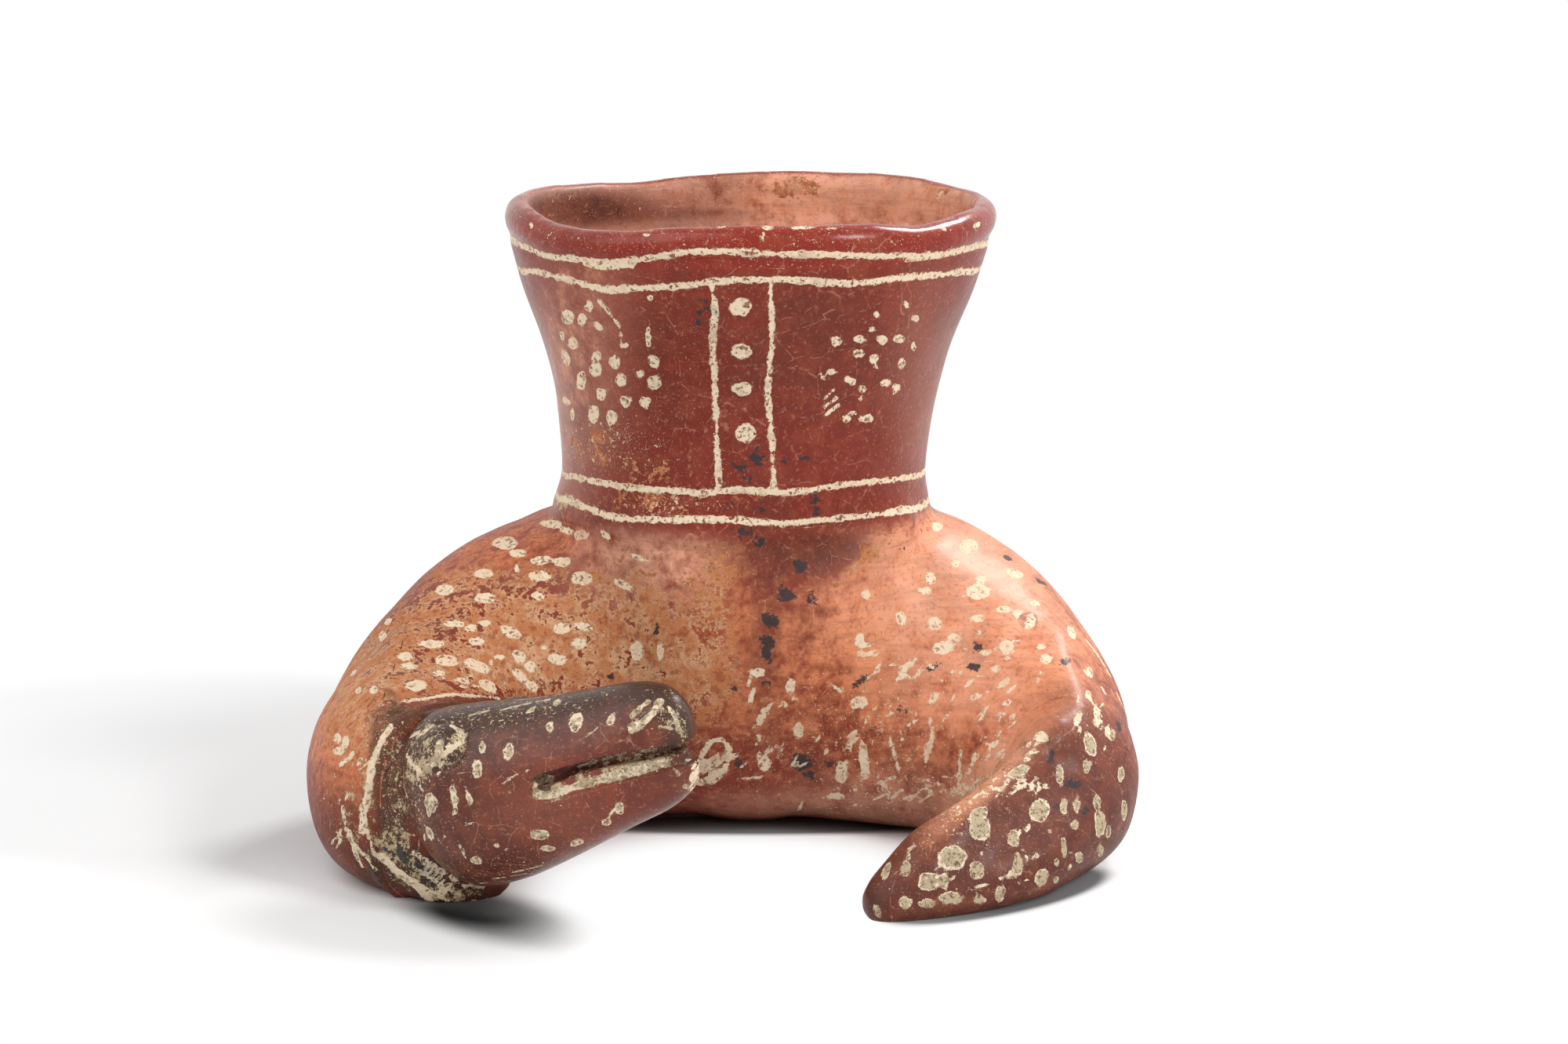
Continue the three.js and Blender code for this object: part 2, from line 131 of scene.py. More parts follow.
def srgb(red, green, blue):
    """A colour as it is seen, 0 to 255, as the linear values that shaders take."""
    return tuple(
        value / 12.92 if value <= 0.04045 else ((value + 0.055) / 1.055) ** 2.4
        for value in (red / 255, green / 255, blue / 255)
    )


def colour(name, description, *seen):
    """A colour property with its default given as it is seen."""
    return FloatVectorProperty(
        name=name, description=description, default=srgb(*seen), subtype="COLOR", size=3, min=0, max=1
    )


class JarColours(bpy.types.PropertyGroup):
    """Colours of the slips, the paint and the stains, some of them also painting light and shade."""

    deep: colour("Deep red slip", "Thick, glossy slip of the lip", 138, 38, 24)
    # Pink also paints light: sheen on the neck's edges and the head, highlights on the left haunch, lit
    # ridges and the tail's crest, the bore's lit side and light along the bottom edge.
    pink: colour("Rubbed slip", "Slip rubbed thin, inside the neck and on the haunches", 240, 178, 148)
    ochre: colour("Ochre clay", "Iron-stained clay where the surface is eroded", 192, 124, 80)
    red: colour("Red slip", "Burnished slip of the neck", 126, 41, 27)
    # Orange also paints light on the right haunch's top, the neck's left edge, lit ridges and the bore, and
    # taken away it paints shade in the hollow under the neck.
    orange: colour("Orange slip", "Thin slip where the fire reddened it least", 230, 142, 96)
    # Brown also paints shade in the hollow under the neck, the valley, a crease, along the bottom edge and
    # on the bore's dark side.
    brown: colour("Brown slip", "Smoked slip of the head and the tail", 96, 50, 40)
    # Buff also paints highlights on the lit ridge under the neck and on the tail's crest.
    buff: colour("Bare clay", "Clay that shows where the slip has worn away", 220, 172, 130)
    cream: colour("Cream paint", "Kaolin paint of the lines and dabs", 240, 221, 190)
    worn: colour("Worn paint", "Paint worn thin in the middle of a dab", 172, 156, 124)
    stain: colour("Stain", "Blue-black manganese stains", 50, 48, 50)
    # This dark colour also paints shade in creases, hollows, under the throat, in the mouth's slit and in
    # the pits of the nostril and the mouth's end.
    smoke_and_shade: colour("Smoke", "Fire clouds on the head and in the creases", 62, 47, 38)
    grime: colour("Grime", "Chalky soil left in the creases and the mouth", 222, 194, 154)


# Shares of the body's reach, advance, half width, height and crest, from the left arm's end to the
# tail's tip. Advance grows towards the viewer, and the crest pinches the top of a section to a ridge.
LEFT_STATION_SHARES = (
    (0.885, 1.0, 0.41, 0.55, 0), (0.955, 0.885, 0.56, 0.57, 0.1), (0.985, 0.7, 0.64, 0.62, 0.25),
    (0.96, 0.52, 0.69, 0.69, 0.3), (0.86, 0.28, 0.78, 0.81, 0.2), (0.66, 0.08, 0.91, 0.925, 0.08),
    (0.34, -0.05, 1, 0.985, 0),
)  # fmt: skip
CENTRE_STATION_SHARES = (0, -0.08, 1, 1, 0)
RIGHT_STATION_SHARES = (
    (0.34, -0.045, 1, 0.985, 0), (0.7, 0.07, 0.92, 0.93, 0.12), (0.92, 0.23, 0.75, 0.8, 0.28),
    (1.02, 0.38, 0.58, 0.66, 0.42), (1.07, 0.53, 0.47, 0.5, 0.46), (0.98, 0.68, 0.42, 0.415, 0.5),
    (0.81, 0.82, 0.37, 0.325, 0.5), (0.61, 0.92, 0.29, 0.24, 0.42), (0.47, 0.98, 0.18, 0.15, 0.25),
    (0.4, 1.0, 0.07, 0.09, 0),
)  # fmt: skip
CENTRE_STATION = len(LEFT_STATION_SHARES)
LAST_STATION = CENTRE_STATION + len(RIGHT_STATION_SHARES)
KNEE_STATION = CENTRE_STATION + 5
TAIL_HOLLOW_STATION = KNEE_STATION + 2.2
OVAL_POWER = 2.45
CREST_POWER = 1.4

# The belly's profile: shares of its radius and of the neck's foot height.
BELLY_SHARES = ((0.28, 0), (0.6, 0.1), (0.83, 0.27), (0.97, 0.52), (0.99, 0.78))

# The neck's profile: shares of its flare and of its rise from the foot to the lip.
NECK_SHARES = (
    (-0.1, -0.16), (0.08, -0.05), (0.06, 0.01), (-0.02, 0.1), (0, 0.22), (0.1, 0.37), (0.25, 0.52),
    (0.48, 0.67), (0.755, 0.82), (1, 0.98),
)  # fmt: skip

# How high the rim stands over its mean, in shares of the lip's height, by azimuth: 0 is right, 90 back.
RIM_WAVE_SHARES = (
    (0, 0.1), (27, 0.1), (47, 0.15), (70, 0.11), (90, 0.1), (108, 0.03), (122, -0.05), (136, 0.01),
    (154, 0.08), (180, 0.14), (198, 0.1), (212, -0.06), (225, -0.13), (240, -0.08), (250, 0.03),
    (270, 0.08), (300, 0.02), (313, -0.1), (321, -0.06), (333, 0.02), (360, 0.1),
)  # fmt: skip
RIM_WAVE_POWER, RIM_WAVE_LIMIT = 2.5, 1.15

# The lip's round, in half turns from the outside to the inside.
LIP_HALF_TURNS = (-0.3, 1)

# The throat beyond the arm's end: shares of its length, of the arm's half width and of its half height.
THROAT_SHARES = ((-0.6, 0.93, 0.95), (0, 0.93, 0.95), (0.4, 0.94, 0.9), (0.75, 0.84, 0.72), (1, 0.5, 0.42))
THROAT_DRIFT_SHARES = (0, 0, 0.06, 0.29, 0.51)

# The coil at the throat, in millimetres along the arm and shares of its height, and the ring that cuts it.
COLLAR_PROFILE = ((-4.0, -1.0), (-2.6, 0.55), (-0.9, 1.0), (0.8, 0.7), (2.0, -1.0))
COLLAR_SUNK, COLLAR_REACH, COLLAR_CORE_INSET = 1.5 * MM, 8 * MM, 0.6 * MM
COLLAR_SIDES, COLLAR_CORE_SIDES = (3.4 * MM, -1.6 * MM), (9 * MM, -9 * MM)

# How far the fillet's cut reaches inside the neck's foot and past the fillet, and sizes of cutting cubes.
FILLET_CUT_INSIDE, FILLET_CUT_OUTSIDE = 1.2 * MM, 0.6 * MM
LEVEL_BLOCK, THROAT_BLOCK, KNEE_BLOCK, MIDDLE_BLOCK = 1.0, 70 * MM, 105 * MM, 280 * MM

# The head's stations, from the back to the snout: length, top, bottom, half-width and forward shares.
HEAD_SHARES = (
    (0, 0.58, 0.42, 0.14, 0), (0.03, 0.68, 0.28, 0.48, 0.03), (0.11, 0.785, 0.11, 0.82, 0.1),
    (0.25, 0.835, 0.01, 1, 0.25), (0.42, 0.87, 0.06, 0.97, 0.42), (0.6, 0.92, 0.185, 0.86, 0.6),
    (0.78, 0.98, 0.33, 0.72, 0.79), (0.9, 0.975, 0.42, 0.58, 0.9), (0.97, 0.89, 0.5, 0.4, 0.97),
    (1, 0.76, 0.56, 0.16, 1),
)  # fmt: skip

# How far the head's back lies left of the arm's end, before it and over the ground.
HEAD_LEFT, HEAD_BEFORE, HEAD_LIFT = 9 * MM, 7 * MM, 5 * MM
HEAD_CORE_SHARE = 0.3

# Each eye's share of the head's length and its half turns up from the viewer's side, and its cut.
EYE_PLACES = {"eye_right": (0.25, 0.25), "eye_left": (0.42, 0.72)}
EYE_CUT_OVER, EYE_CUT_UNDER = 0.2 * MM, 0.5 * MM

# The mouth's outline and that of the ledge inside its lower lip, as shares of the head's length and height.
MOUTH_SHARES = (
    (1.1, 0.79), (0.93, 0.757), (0.77, 0.73), (0.62, 0.675), (0.5, 0.625), (0.46, 0.59), (0.5, 0.555),
    (0.56, 0.59), (0.62, 0.628), (0.77, 0.668), (0.93, 0.706), (1.1, 0.74),
)  # fmt: skip
LEDGE_DEPTH_SHARE = 0.44
LEDGE_SHARES = (
    (1.1, 0.77), (0.93, 0.74), (0.77, 0.7), (0.62, 0.65), (0.49, 0.6), (0.45, 0.545), (0.478, 0.505),
    (0.55, 0.515), (0.62, 0.545), (0.76, 0.6), (0.93, 0.652), (1.1, 0.68),
)  # fmt: skip

# Size and depth of the uneven waves that hands leave in clay.
KNEADING = ((38 * MM, 0.7 * MM), (13 * MM, 0.22 * MM))

# The photograph's camera, in its own pixels and measured from the neck's axis.
PHOTO_WIDTH = 2000
PHOTO_MIDDLE = (1000, 665.5)
FOCAL_PIXELS = 5175
SENSOR_WIDTH = 36
CAMERA_PLACE = NECK_AXIS + Vector((11 * MM, -1150 * MM, 308 * MM))
CAMERA_PITCH = math.radians(11)
LOOK = Vector((0, math.cos(CAMERA_PITCH), -math.sin(CAMERA_PITCH)))
LOOK_UP = Vector((0, math.sin(CAMERA_PITCH), math.cos(CAMERA_PITCH)))

# Places in the tables below are pixels of the photograph, read off and cast on to the clay.
# The closed lines round the neck, from left to right across the front, and their half width.
NECK_LINE_HALF_WIDTH = 0.95 * MM
NECK_LINES = (
    ((655, 302), (692, 325), (738, 331), (784, 334), (830, 329), (875, 321), (921, 321), (990, 323),
     (1059, 325), (1128, 326), (1197, 325), (1243, 313), (1266, 304)),
    ((664, 341), (715, 354), (770, 368), (807, 367), (853, 366), (898, 361), (944, 357), (1013, 357),
     (1082, 361), (1151, 354), (1197, 350), (1243, 345)),
    ((724, 605), (761, 614), (807, 622), (853, 625), (898, 629), (944, 624), (990, 628), (1036, 624),
     (1082, 617), (1128, 612), (1169, 607)),
    ((719, 636), (751, 648), (784, 660), (830, 663), (875, 663), (921, 662), (967, 666), (1013, 666),
     (1059, 662), (1105, 657), (1151, 651), (1176, 645)),
)  # fmt: skip

# Brush strokes of each kind: worn share, width in pixels and the points that the brush went through.
NECK_STROKES = {
    "cream": (
        (0.1, 8.5, ((908, 366), (912, 387), (909, 433), (911, 478), (913, 524), (914, 570), (917, 624))),
        (0.1, 8, ((982, 359), (983, 387), (985, 433), (980, 478), (981, 524), (985, 570), (987, 624))),
        (0.1, 6, ((764, 384), (789, 415), (793, 442))), (0.2, 13, ((745, 333), (775, 338), (805, 336))),
        (0.2, 10, ((745, 362), (775, 371), (800, 369))), (0.3, 4, ((1050, 510), (1066, 495))),
        (0.3, 5, ((1052, 519), (1068, 507))), (0.3, 6, ((1052, 530), (1070, 516))),
    ),
    "crack": (
        (0, 1.5, ((922, 289), (924, 312))), (0, 1.5, ((931, 290), (934, 306))),
        (0, 1.5, ((955, 291), (957, 308))), (0, 1.3, ((881, 292), (880, 309))),
        (0, 1.2, ((818, 300), (816, 322))), (0, 1.2, ((1012, 292), (1014, 310))),
    ),
}  # fmt: skip
BODY_STROKES = {
    "cream": (
        (0.15, 8, ((518, 894), (547, 890), (573, 886), (605, 887))), (0.3, 5, ((605, 887), (637, 890))),
        (0.2, 9, ((499, 925), (485, 947), (474, 975))),
        (0.15, 13, ((473, 976), (470, 1008), (464, 1034), (462, 1060))),
        (0.4, 7, ((469, 1060), (474, 1080), (484, 1094))),
        (0.4, 6, ((434, 1021), (440, 1047), (445, 1067), (466, 1092), (479, 1109))),
        (0.05, 13, ((486, 1092), (505, 1108), (528, 1128), (548, 1148))),
        (0.3, 7, ((526, 1122), (548, 1136), (572, 1149))),
        (0.3, 5, ((540, 1112), (562, 1128), (584, 1140))), (0.5, 4, ((590, 1147), (612, 1148))),
        (0.5, 4, ((524, 1100), (540, 1116))), (0.4, 7, ((446, 1060), (452, 1085), (462, 1104))),
        (0.4, 7, ((500, 1110), (530, 1130))), (0.4, 6, ((527, 1086), (566, 1112), (595, 1131))),
        (0.3, 4, ((573, 1125), (618, 1131))), (0.5, 3, ((540, 1100), (575, 1130))),
        (0.3, 10, ((890, 978), (899, 956), (912, 943), (926, 946), (930, 962), (924, 980), (908, 998))),
        (0.3, 18, ((884, 990), (899, 978), (913, 970))),
        (0.4, 14, ((884, 1000), (902, 994), (912, 984))), (0.6, 8, ((873, 1002), (884, 1006))),
        (0.2, 8, ((1386, 816), (1402, 838), (1417, 863))),
        (0.3, 6, ((1425, 885), (1436, 910), (1440, 930))),
        (0.4, 4, ((1105, 866), (1117, 856), (1124, 850))), (0.4, 4, ((940, 993), (972, 991))),
        (0.2, 5, ((1134, 940), (1141, 962), (1146, 982))),
        (0.3, 5, ((1120, 990), (1131, 1008), (1137, 1022))),
        (0.3, 6, ((1186, 918), (1189, 936), (1186, 956))), (0.4, 5, ((1183, 950), (1180, 980))),
        (0.4, 6, ((1226, 958), (1223, 982), (1222, 1004))),
    ),
    "stain": (
        (0, 9, ((508, 1068), (514, 1088), (524, 1106))),
        (0, 10, ((532, 1104), (548, 1118), (570, 1130))), (0, 8, ((474, 1102), (484, 1124))),
        (0, 5, ((488, 1082), (530, 1106), (560, 1130))),
        (0, 7, ((515, 1075), (550, 1098), (585, 1122))),
    ),
    "crack": (
        # The first line is painted shade along the crease beside the left arm's end; the other lines are
        # cracks.
        (0, 2, ((516, 812), (503, 850), (488, 893), (478, 925))),
        (0, 3, ((497, 976), (491, 990), (498, 1003))), (0, 2, ((492, 985), (494, 1020), (489, 1050))),
    ),
}  # fmt: skip
HEAD_STROKES = {
    "cream": (
        (0.5, 6, ((640, 905), (668, 898), (700, 892))), (0.6, 3, ((655, 893), (690, 889), (720, 884))),
        (0.6, 4, ((600, 912), (625, 905))), (0.4, 3, ((655, 1112), (690, 1104))),
        (0.4, 3, ((632, 1120), (670, 1114))), (0.5, 2.5, ((612, 1126), (650, 1123))),
        (0.5, 4, ((586, 1078), (594, 1094))),
        (0.8, 13, ((842, 894), (832, 908), (818, 921), (806, 929))),
        (0.9, 9, ((806, 912), (814, 905), (826, 895))), (0.9, 8, ((853, 902), (862, 916), (866, 932))),
        (0.9, 7, ((842, 926), (856, 929))),
        (0.7, 14, ((686, 1014), (700, 1014), (722, 1007), (752, 997), (784, 989), (816, 981), (846, 973))),
        (0.7, 10, ((682, 1000), (690, 993), (702, 992))),
        (0.8, 4, ((846, 973), (858, 978), (866, 988))),
        (0.9, 3.5, ((738, 977), (770, 967), (806, 959), (842, 955))),
        (0.05, 9, ((577, 925), (585, 931), (590, 939))),
        (0.05, 9, ((567, 961), (577, 953), (588, 946))), (0.1, 8, ((519, 963), (527, 975), (536, 985))),
        (0.8, 10, ((533, 939), (542, 932), (551, 927))),
        (0.9, 12, ((560, 948), (560, 960), (552, 974), (542, 979))),
        (0.8, 7, ((515, 1000), (519, 1015))), (0.5, 2.5, ((640, 1000), (655, 990), (674, 982))),
        (0.6, 2, ((738, 944), (752, 936), (762, 928))),
        (0.5, 4, ((774, 1046), (782, 1034), (790, 1028))),
    ),
    "crack": (
        # The first two are painted shade in the pits of the nostril and of the mouth's end.
        (0, 3, ((815, 917), (831, 904))), (0, 8, ((690, 1004), (699, 1005))),
        (0, 5, ((561, 921), (570, 925), (571, 934))), (0, 4, ((532, 955), (538, 946), (546, 938))),
    ),
}  # fmt: skip

# Dabs of the fingertip: across, up, width, height and tilt in pixels and degrees.
NECK_DABS = (
    (724, 404, 18, 20), (751, 391, 11, 15), (742, 408, 14, 17, -20), (763, 416, 9, 14, 30),
    (799, 441, 8, 8), (827, 430, 8, 28), (717, 428, 6, 13), (730, 438, 14, 16, 20),
    (722, 456, 12, 20, 20), (760, 455, 13, 14), (759, 472, 17, 19), (784, 462, 15, 18),
    (817, 476, 10, 11), (834, 462, 13, 20, 30), (834, 488, 17, 18), (792, 485, 15, 17),
    (741, 485, 13, 26), (766, 503, 14, 16), (798, 512, 16, 16), (823, 513, 15, 16), (757, 528, 14, 24),
    (780, 533, 14, 20), (722, 511, 16, 9, -20), (730, 529, 6, 18), (829, 379, 10, 7, 40),
    (944, 392, 30, 23), (945, 448, 28, 19), (946, 496, 27, 17), (950, 552, 28, 24), (1067, 435, 14, 14),
    (1096, 432, 15, 10), (1119, 402, 10, 9), (1112, 420, 10, 6), (1126, 434, 14, 13),
    (1147, 432, 15, 11), (1165, 442, 6, 11), (1095, 451, 14, 11), (1115, 458, 12, 14),
    (1119, 468, 8, 5), (1150, 463, 10, 14), (1062, 474, 15, 8), (1049, 480, 6, 8, 30),
    (1081, 484, 12, 9), (1087, 487, 10, 8), (1100, 496, 10, 10), (1130, 489, 14, 11),
    (1143, 494, 12, 10), (1140, 502, 8, 6, 40), (1098, 509, 6, 7), (1080, 534, 15, 9),
    (1092, 527, 16, 6), (1105, 533, 18, 11), (1156, 389, 7, 11), (1168, 406, 9, 9), (973, 301, 7, 12),
    (979, 290, 15, 5), (1025, 290, 30, 4), (882, 292, 4, 7), (1157, 288, 9, 5), (1246, 287, 12, 7, 40),
    (678, 287, 5, 9), (825, 299, 12, 4), (920, 289, 12, 3), (1060, 291, 14, 3), (845, 297, 8, 3),
    (1205, 292, 7, 3), (700, 300, 5, 4),
)  # fmt: skip
LEFT_DABS = (
    (703, 668, 30, 11, -8), (722, 676, 26, 8, -14), (741, 682, 20, 11), (773, 683, 17, 9, -40),
    (644, 692, 33, 17), (660, 705, 24, 11), (691, 714, 30, 12), (716, 716, 25, 13),
    (815, 711, 23, 8, -20), (616, 731, 26, 12), (659, 725, 7, 12), (689, 735, 28, 14),
    (741, 737, 29, 18, -10), (795, 746, 28, 11, -30), (567, 752, 26, 14), (618, 762, 28, 15),
    (684, 759, 22, 12, -15), (495, 792, 11, 11), (579, 795, 28, 9), (601, 801, 18, 9),
    (608, 818, 20, 12), (618, 795, 18, 9), (651, 806, 28, 14, -25), (717, 801, 22, 15),
    (743, 799, 26, 12, -10), (739, 821, 20, 15), (812, 831, 18, 28), (551, 821, 34, 11),
    (517, 837, 20, 11), (522, 849, 22, 9), (568, 842, 28, 14), (608, 849, 36, 14, -25),
    (711, 840, 25, 15, -15), (662, 838, 20, 16, -40), (677, 850, 18, 14, -40), (664, 862, 26, 12, -40),
    (678, 874, 22, 12, -40), (623, 875, 26, 14, -30), (530, 874, 28, 15), (451, 857, 10, 13),
    (476, 879, 12, 11), (457, 880, 9, 10), (488, 811, 12, 15), (842, 831, 9, 22), (431, 941, 11, 13),
    (441, 945, 11, 16), (432, 957, 13, 13), (437, 973, 18, 8, 40), (560, 858, 16, 8),
    (590, 868, 22, 7, -10), (694, 826, 10, 7), (636, 838, 14, 7),
)  # fmt: skip
RIGHT_DABS = (
    (1196, 671, 15, 13), (1236, 696, 27, 20), (1219, 718, 11, 10), (1187, 738, 14, 17),
    (1179, 753, 19, 11), (1251, 739, 14, 14), (1248, 754, 32, 22), (1228, 760, 6, 5),
    (1293, 731, 27, 12, -15), (1320, 769, 14, 9), (1280, 777, 22, 10), (1301, 784, 22, 13, -20),
    (1246, 789, 20, 12), (1314, 801, 17, 12), (1149, 788, 14, 21), (1193, 795, 19, 17),
    (1104, 759, 12, 14), (1097, 817, 14, 20), (1102, 822, 24, 8), (1217, 813, 15, 10),
    (1202, 826, 30, 18), (1257, 832, 19, 9), (1284, 825, 20, 18), (1328, 825, 14, 8),
    (1269, 852, 14, 10), (1335, 840, 17, 13), (1367, 806, 13, 22), (1390, 858, 11, 17),
    (1280, 871, 21, 8, 30), (1284, 896, 17, 8, 35), (1245, 888, 17, 8, 20), (1191, 890, 17, 9, 45),
    (1158, 848, 32, 8, 35), (1149, 863, 19, 8, 50), (1109, 834, 26, 7), (1067, 878, 17, 8, -30),
    (1096, 896, 22, 18), (1008, 874, 15, 21), (966, 858, 22, 12), (955, 871, 6, 18, -10),
    (959, 888, 8, 21, -15), (970, 917, 20, 9, 60), (975, 974, 17, 20), (1073, 986, 16, 30),
    (1101, 968, 13, 38), (1104, 985, 10, 20, -20), (1018, 932, 13, 20), (1067, 1015, 24, 10),
    (1242, 970, 20, 7, 60), (1250, 943, 14, 4, 60), (1265, 950, 14, 4, 55), (1275, 935, 14, 4, 50),
    (1260, 965, 12, 4, 55), (1290, 925, 16, 4, 45), (1327, 939, 18, 14), (1388, 886, 8, 12),
    (1399, 907, 7, 14, -30), (1413, 932, 8, 16), (1374, 918, 9, 22, -25),
)  # fmt: skip
TAIL_DABS = (
    (1299, 984, 30, 15, 25), (1352, 987, 10, 26), (1386, 977, 10, 22), (1391, 949, 15, 32, 15),
    (1419, 936, 8, 18), (1430, 987, 9, 19), (1434, 1034, 9, 28), (1326, 1034, 26, 32, -25),
    (1357, 1027, 10, 22), (1373, 1025, 10, 22), (1371, 1051, 10, 17), (1404, 1050, 15, 36),
    (1400, 1023, 10, 20), (1251, 1056, 28, 32), (1247, 1038, 26, 18, 30), (1293, 1069, 17, 23),
    (1299, 1101, 14, 32), (1357, 1082, 10, 26), (1377, 1093, 10, 15), (1404, 1085, 9, 17),
    (1215, 1093, 38, 32), (1246, 1109, 20, 24), (1155, 1107, 14, 21), (1130, 1110, 10, 25, -20),
    (1184, 1124, 28, 24), (1203, 1124, 14, 20), (1213, 1145, 36, 18), (1248, 1147, 20, 12),
    (1329, 1119, 18, 24, -20), (1276, 1139, 13, 22, -10), (1347, 1122, 9, 11), (1154, 1152, 20, 18),
    (1183, 1152, 22, 13), (1119, 1162, 10, 20, 20), (1364, 1126, 22, 7, 20), (1348, 1100, 6, 10),
    (1414, 1060, 7, 15), (1340, 1060, 6, 9), (1270, 1098, 8, 6),
)  # fmt: skip
HEAD_DABS = (
    (735, 920, 19, 26, -15), (702, 926, 10, 16, -15), (615, 952, 8, 16), (648, 960, 15, 24, -10),
    (609, 980, 13, 28), (549, 1023, 15, 28, 10), (579, 1015, 11, 27, 12), (598, 1015, 7, 22, 18),
    (548, 1063, 9, 19, 20), (568, 1067, 5, 5), (607, 1097, 16, 9, -20), (687, 1064, 28, 12),
    (698, 1082, 19, 8), (737, 1074, 19, 9, 15), (774, 1048, 13, 9), (790, 1031, 13, 16, -20),
    (779, 918, 10, 18, -20), (677, 905, 16, 6, 35), (710, 896, 13, 7, 40), (645, 1083, 6, 5),
    (632, 1078, 8, 5), (590, 985, 20, 3, 10), (600, 1050, 18, 2, 20), (650, 1010, 4, 4),
    (633, 1019, 3, 3),
)  # fmt: skip
STAINS = (
    (968, 586, 22, 17), (948, 596, 22, 9), (956, 612, 11, 8), (1003, 587, 11, 10), (1027, 585, 14, 8),
    (1018, 557, 9, 5), (1040, 640, 12, 20), (897, 398, 15, 7), (887, 414, 13, 6), (897, 383, 9, 5),
    (921, 382, 7, 5), (952, 681, 34, 16, -20), (965, 689, 22, 14), (973, 648, 14, 8), (930, 646, 7, 7),
    (1018, 721, 20, 26), (1001, 759, 20, 20), (1035, 764, 13, 12), (1044, 778, 6, 6),
    (982, 793, 20, 22), (978, 818, 18, 20), (978, 837, 11, 11), (1024, 973, 30, 20),
    (1034, 988, 18, 16), (943, 977, 11, 20), (974, 871, 13, 14), (1151, 909, 14, 10), (1113, 932, 9, 9),
    (936, 877, 14, 9), (1059, 973, 18, 10), (1040, 650, 8, 12), (1248, 822, 17, 26),
    (1341, 966, 17, 20), (1371, 1000, 14, 12), (1426, 924, 9, 20), (1436, 962, 9, 17),
    (1385, 1034, 7, 10), (1360, 843, 13, 8), (1285, 711, 16, 7, -25), (1329, 742, 18, 7, -30),
    (1348, 1026, 7, 9), (837, 804, 5, 10), (778, 862, 4, 9), (1241, 852, 9, 8), (1150, 700, 6, 5),
    (574, 926, 12, 7), (1100, 868, 26, 7, 35), (1190, 850, 20, 5, 40),
)  # fmt: skip

# Soft patches of each field: across, up, width, height, tilt and strength. A negative one takes away.
NECK_PATCHES = {
    "buff": (
        (748, 575, 70, 44, -10, 0.3), (805, 600, 110, 65, -15, 0.28), (846, 642, 120, 30, 0, 0.34),
        (803, 595, 16, 26, 0, 0.4), (844, 595, 22, 24, 0, 0.4), (766, 560, 28, 20, 0, 0.35),
    ),
    "scrape": (
        (770, 565, 150, 70, -10, 0.7), (850, 640, 160, 36, 0, 0.8), (730, 600, 60, 60, 0, 0.5),
        (880, 480, 150, 180, 0, 0.25), (780, 570, 110, 60, 0, 0.5), (930, 610, 120, 60, 0, 0.35),
    ),
    "brown": ((900, 470, 220, 180, 0, 0.25), (1080, 460, 200, 200, 0, 0.38)),
    # The pink and orange down the neck's left edge, and the pink at its right edge at (1180, 480), are
    # painted sheen.
    "pink": ((1180, 480, 80, 260, 0, 0.14), (730, 480, 120, 330, -8, 0.3)),
    "orange": ((720, 460, 70, 330, -8, 0.3),),
    "grime": ((719, 640, 34, 24, 0, 0.7), (1182, 640, 36, 18, 10, 0.55)),
    "soot": ((960, 600, 90, 60, 0, 0.25), (900, 400, 50, 50, 0, 0.3), (680, 250, 30, 20, 0, 0.5)),
}  # fmt: skip
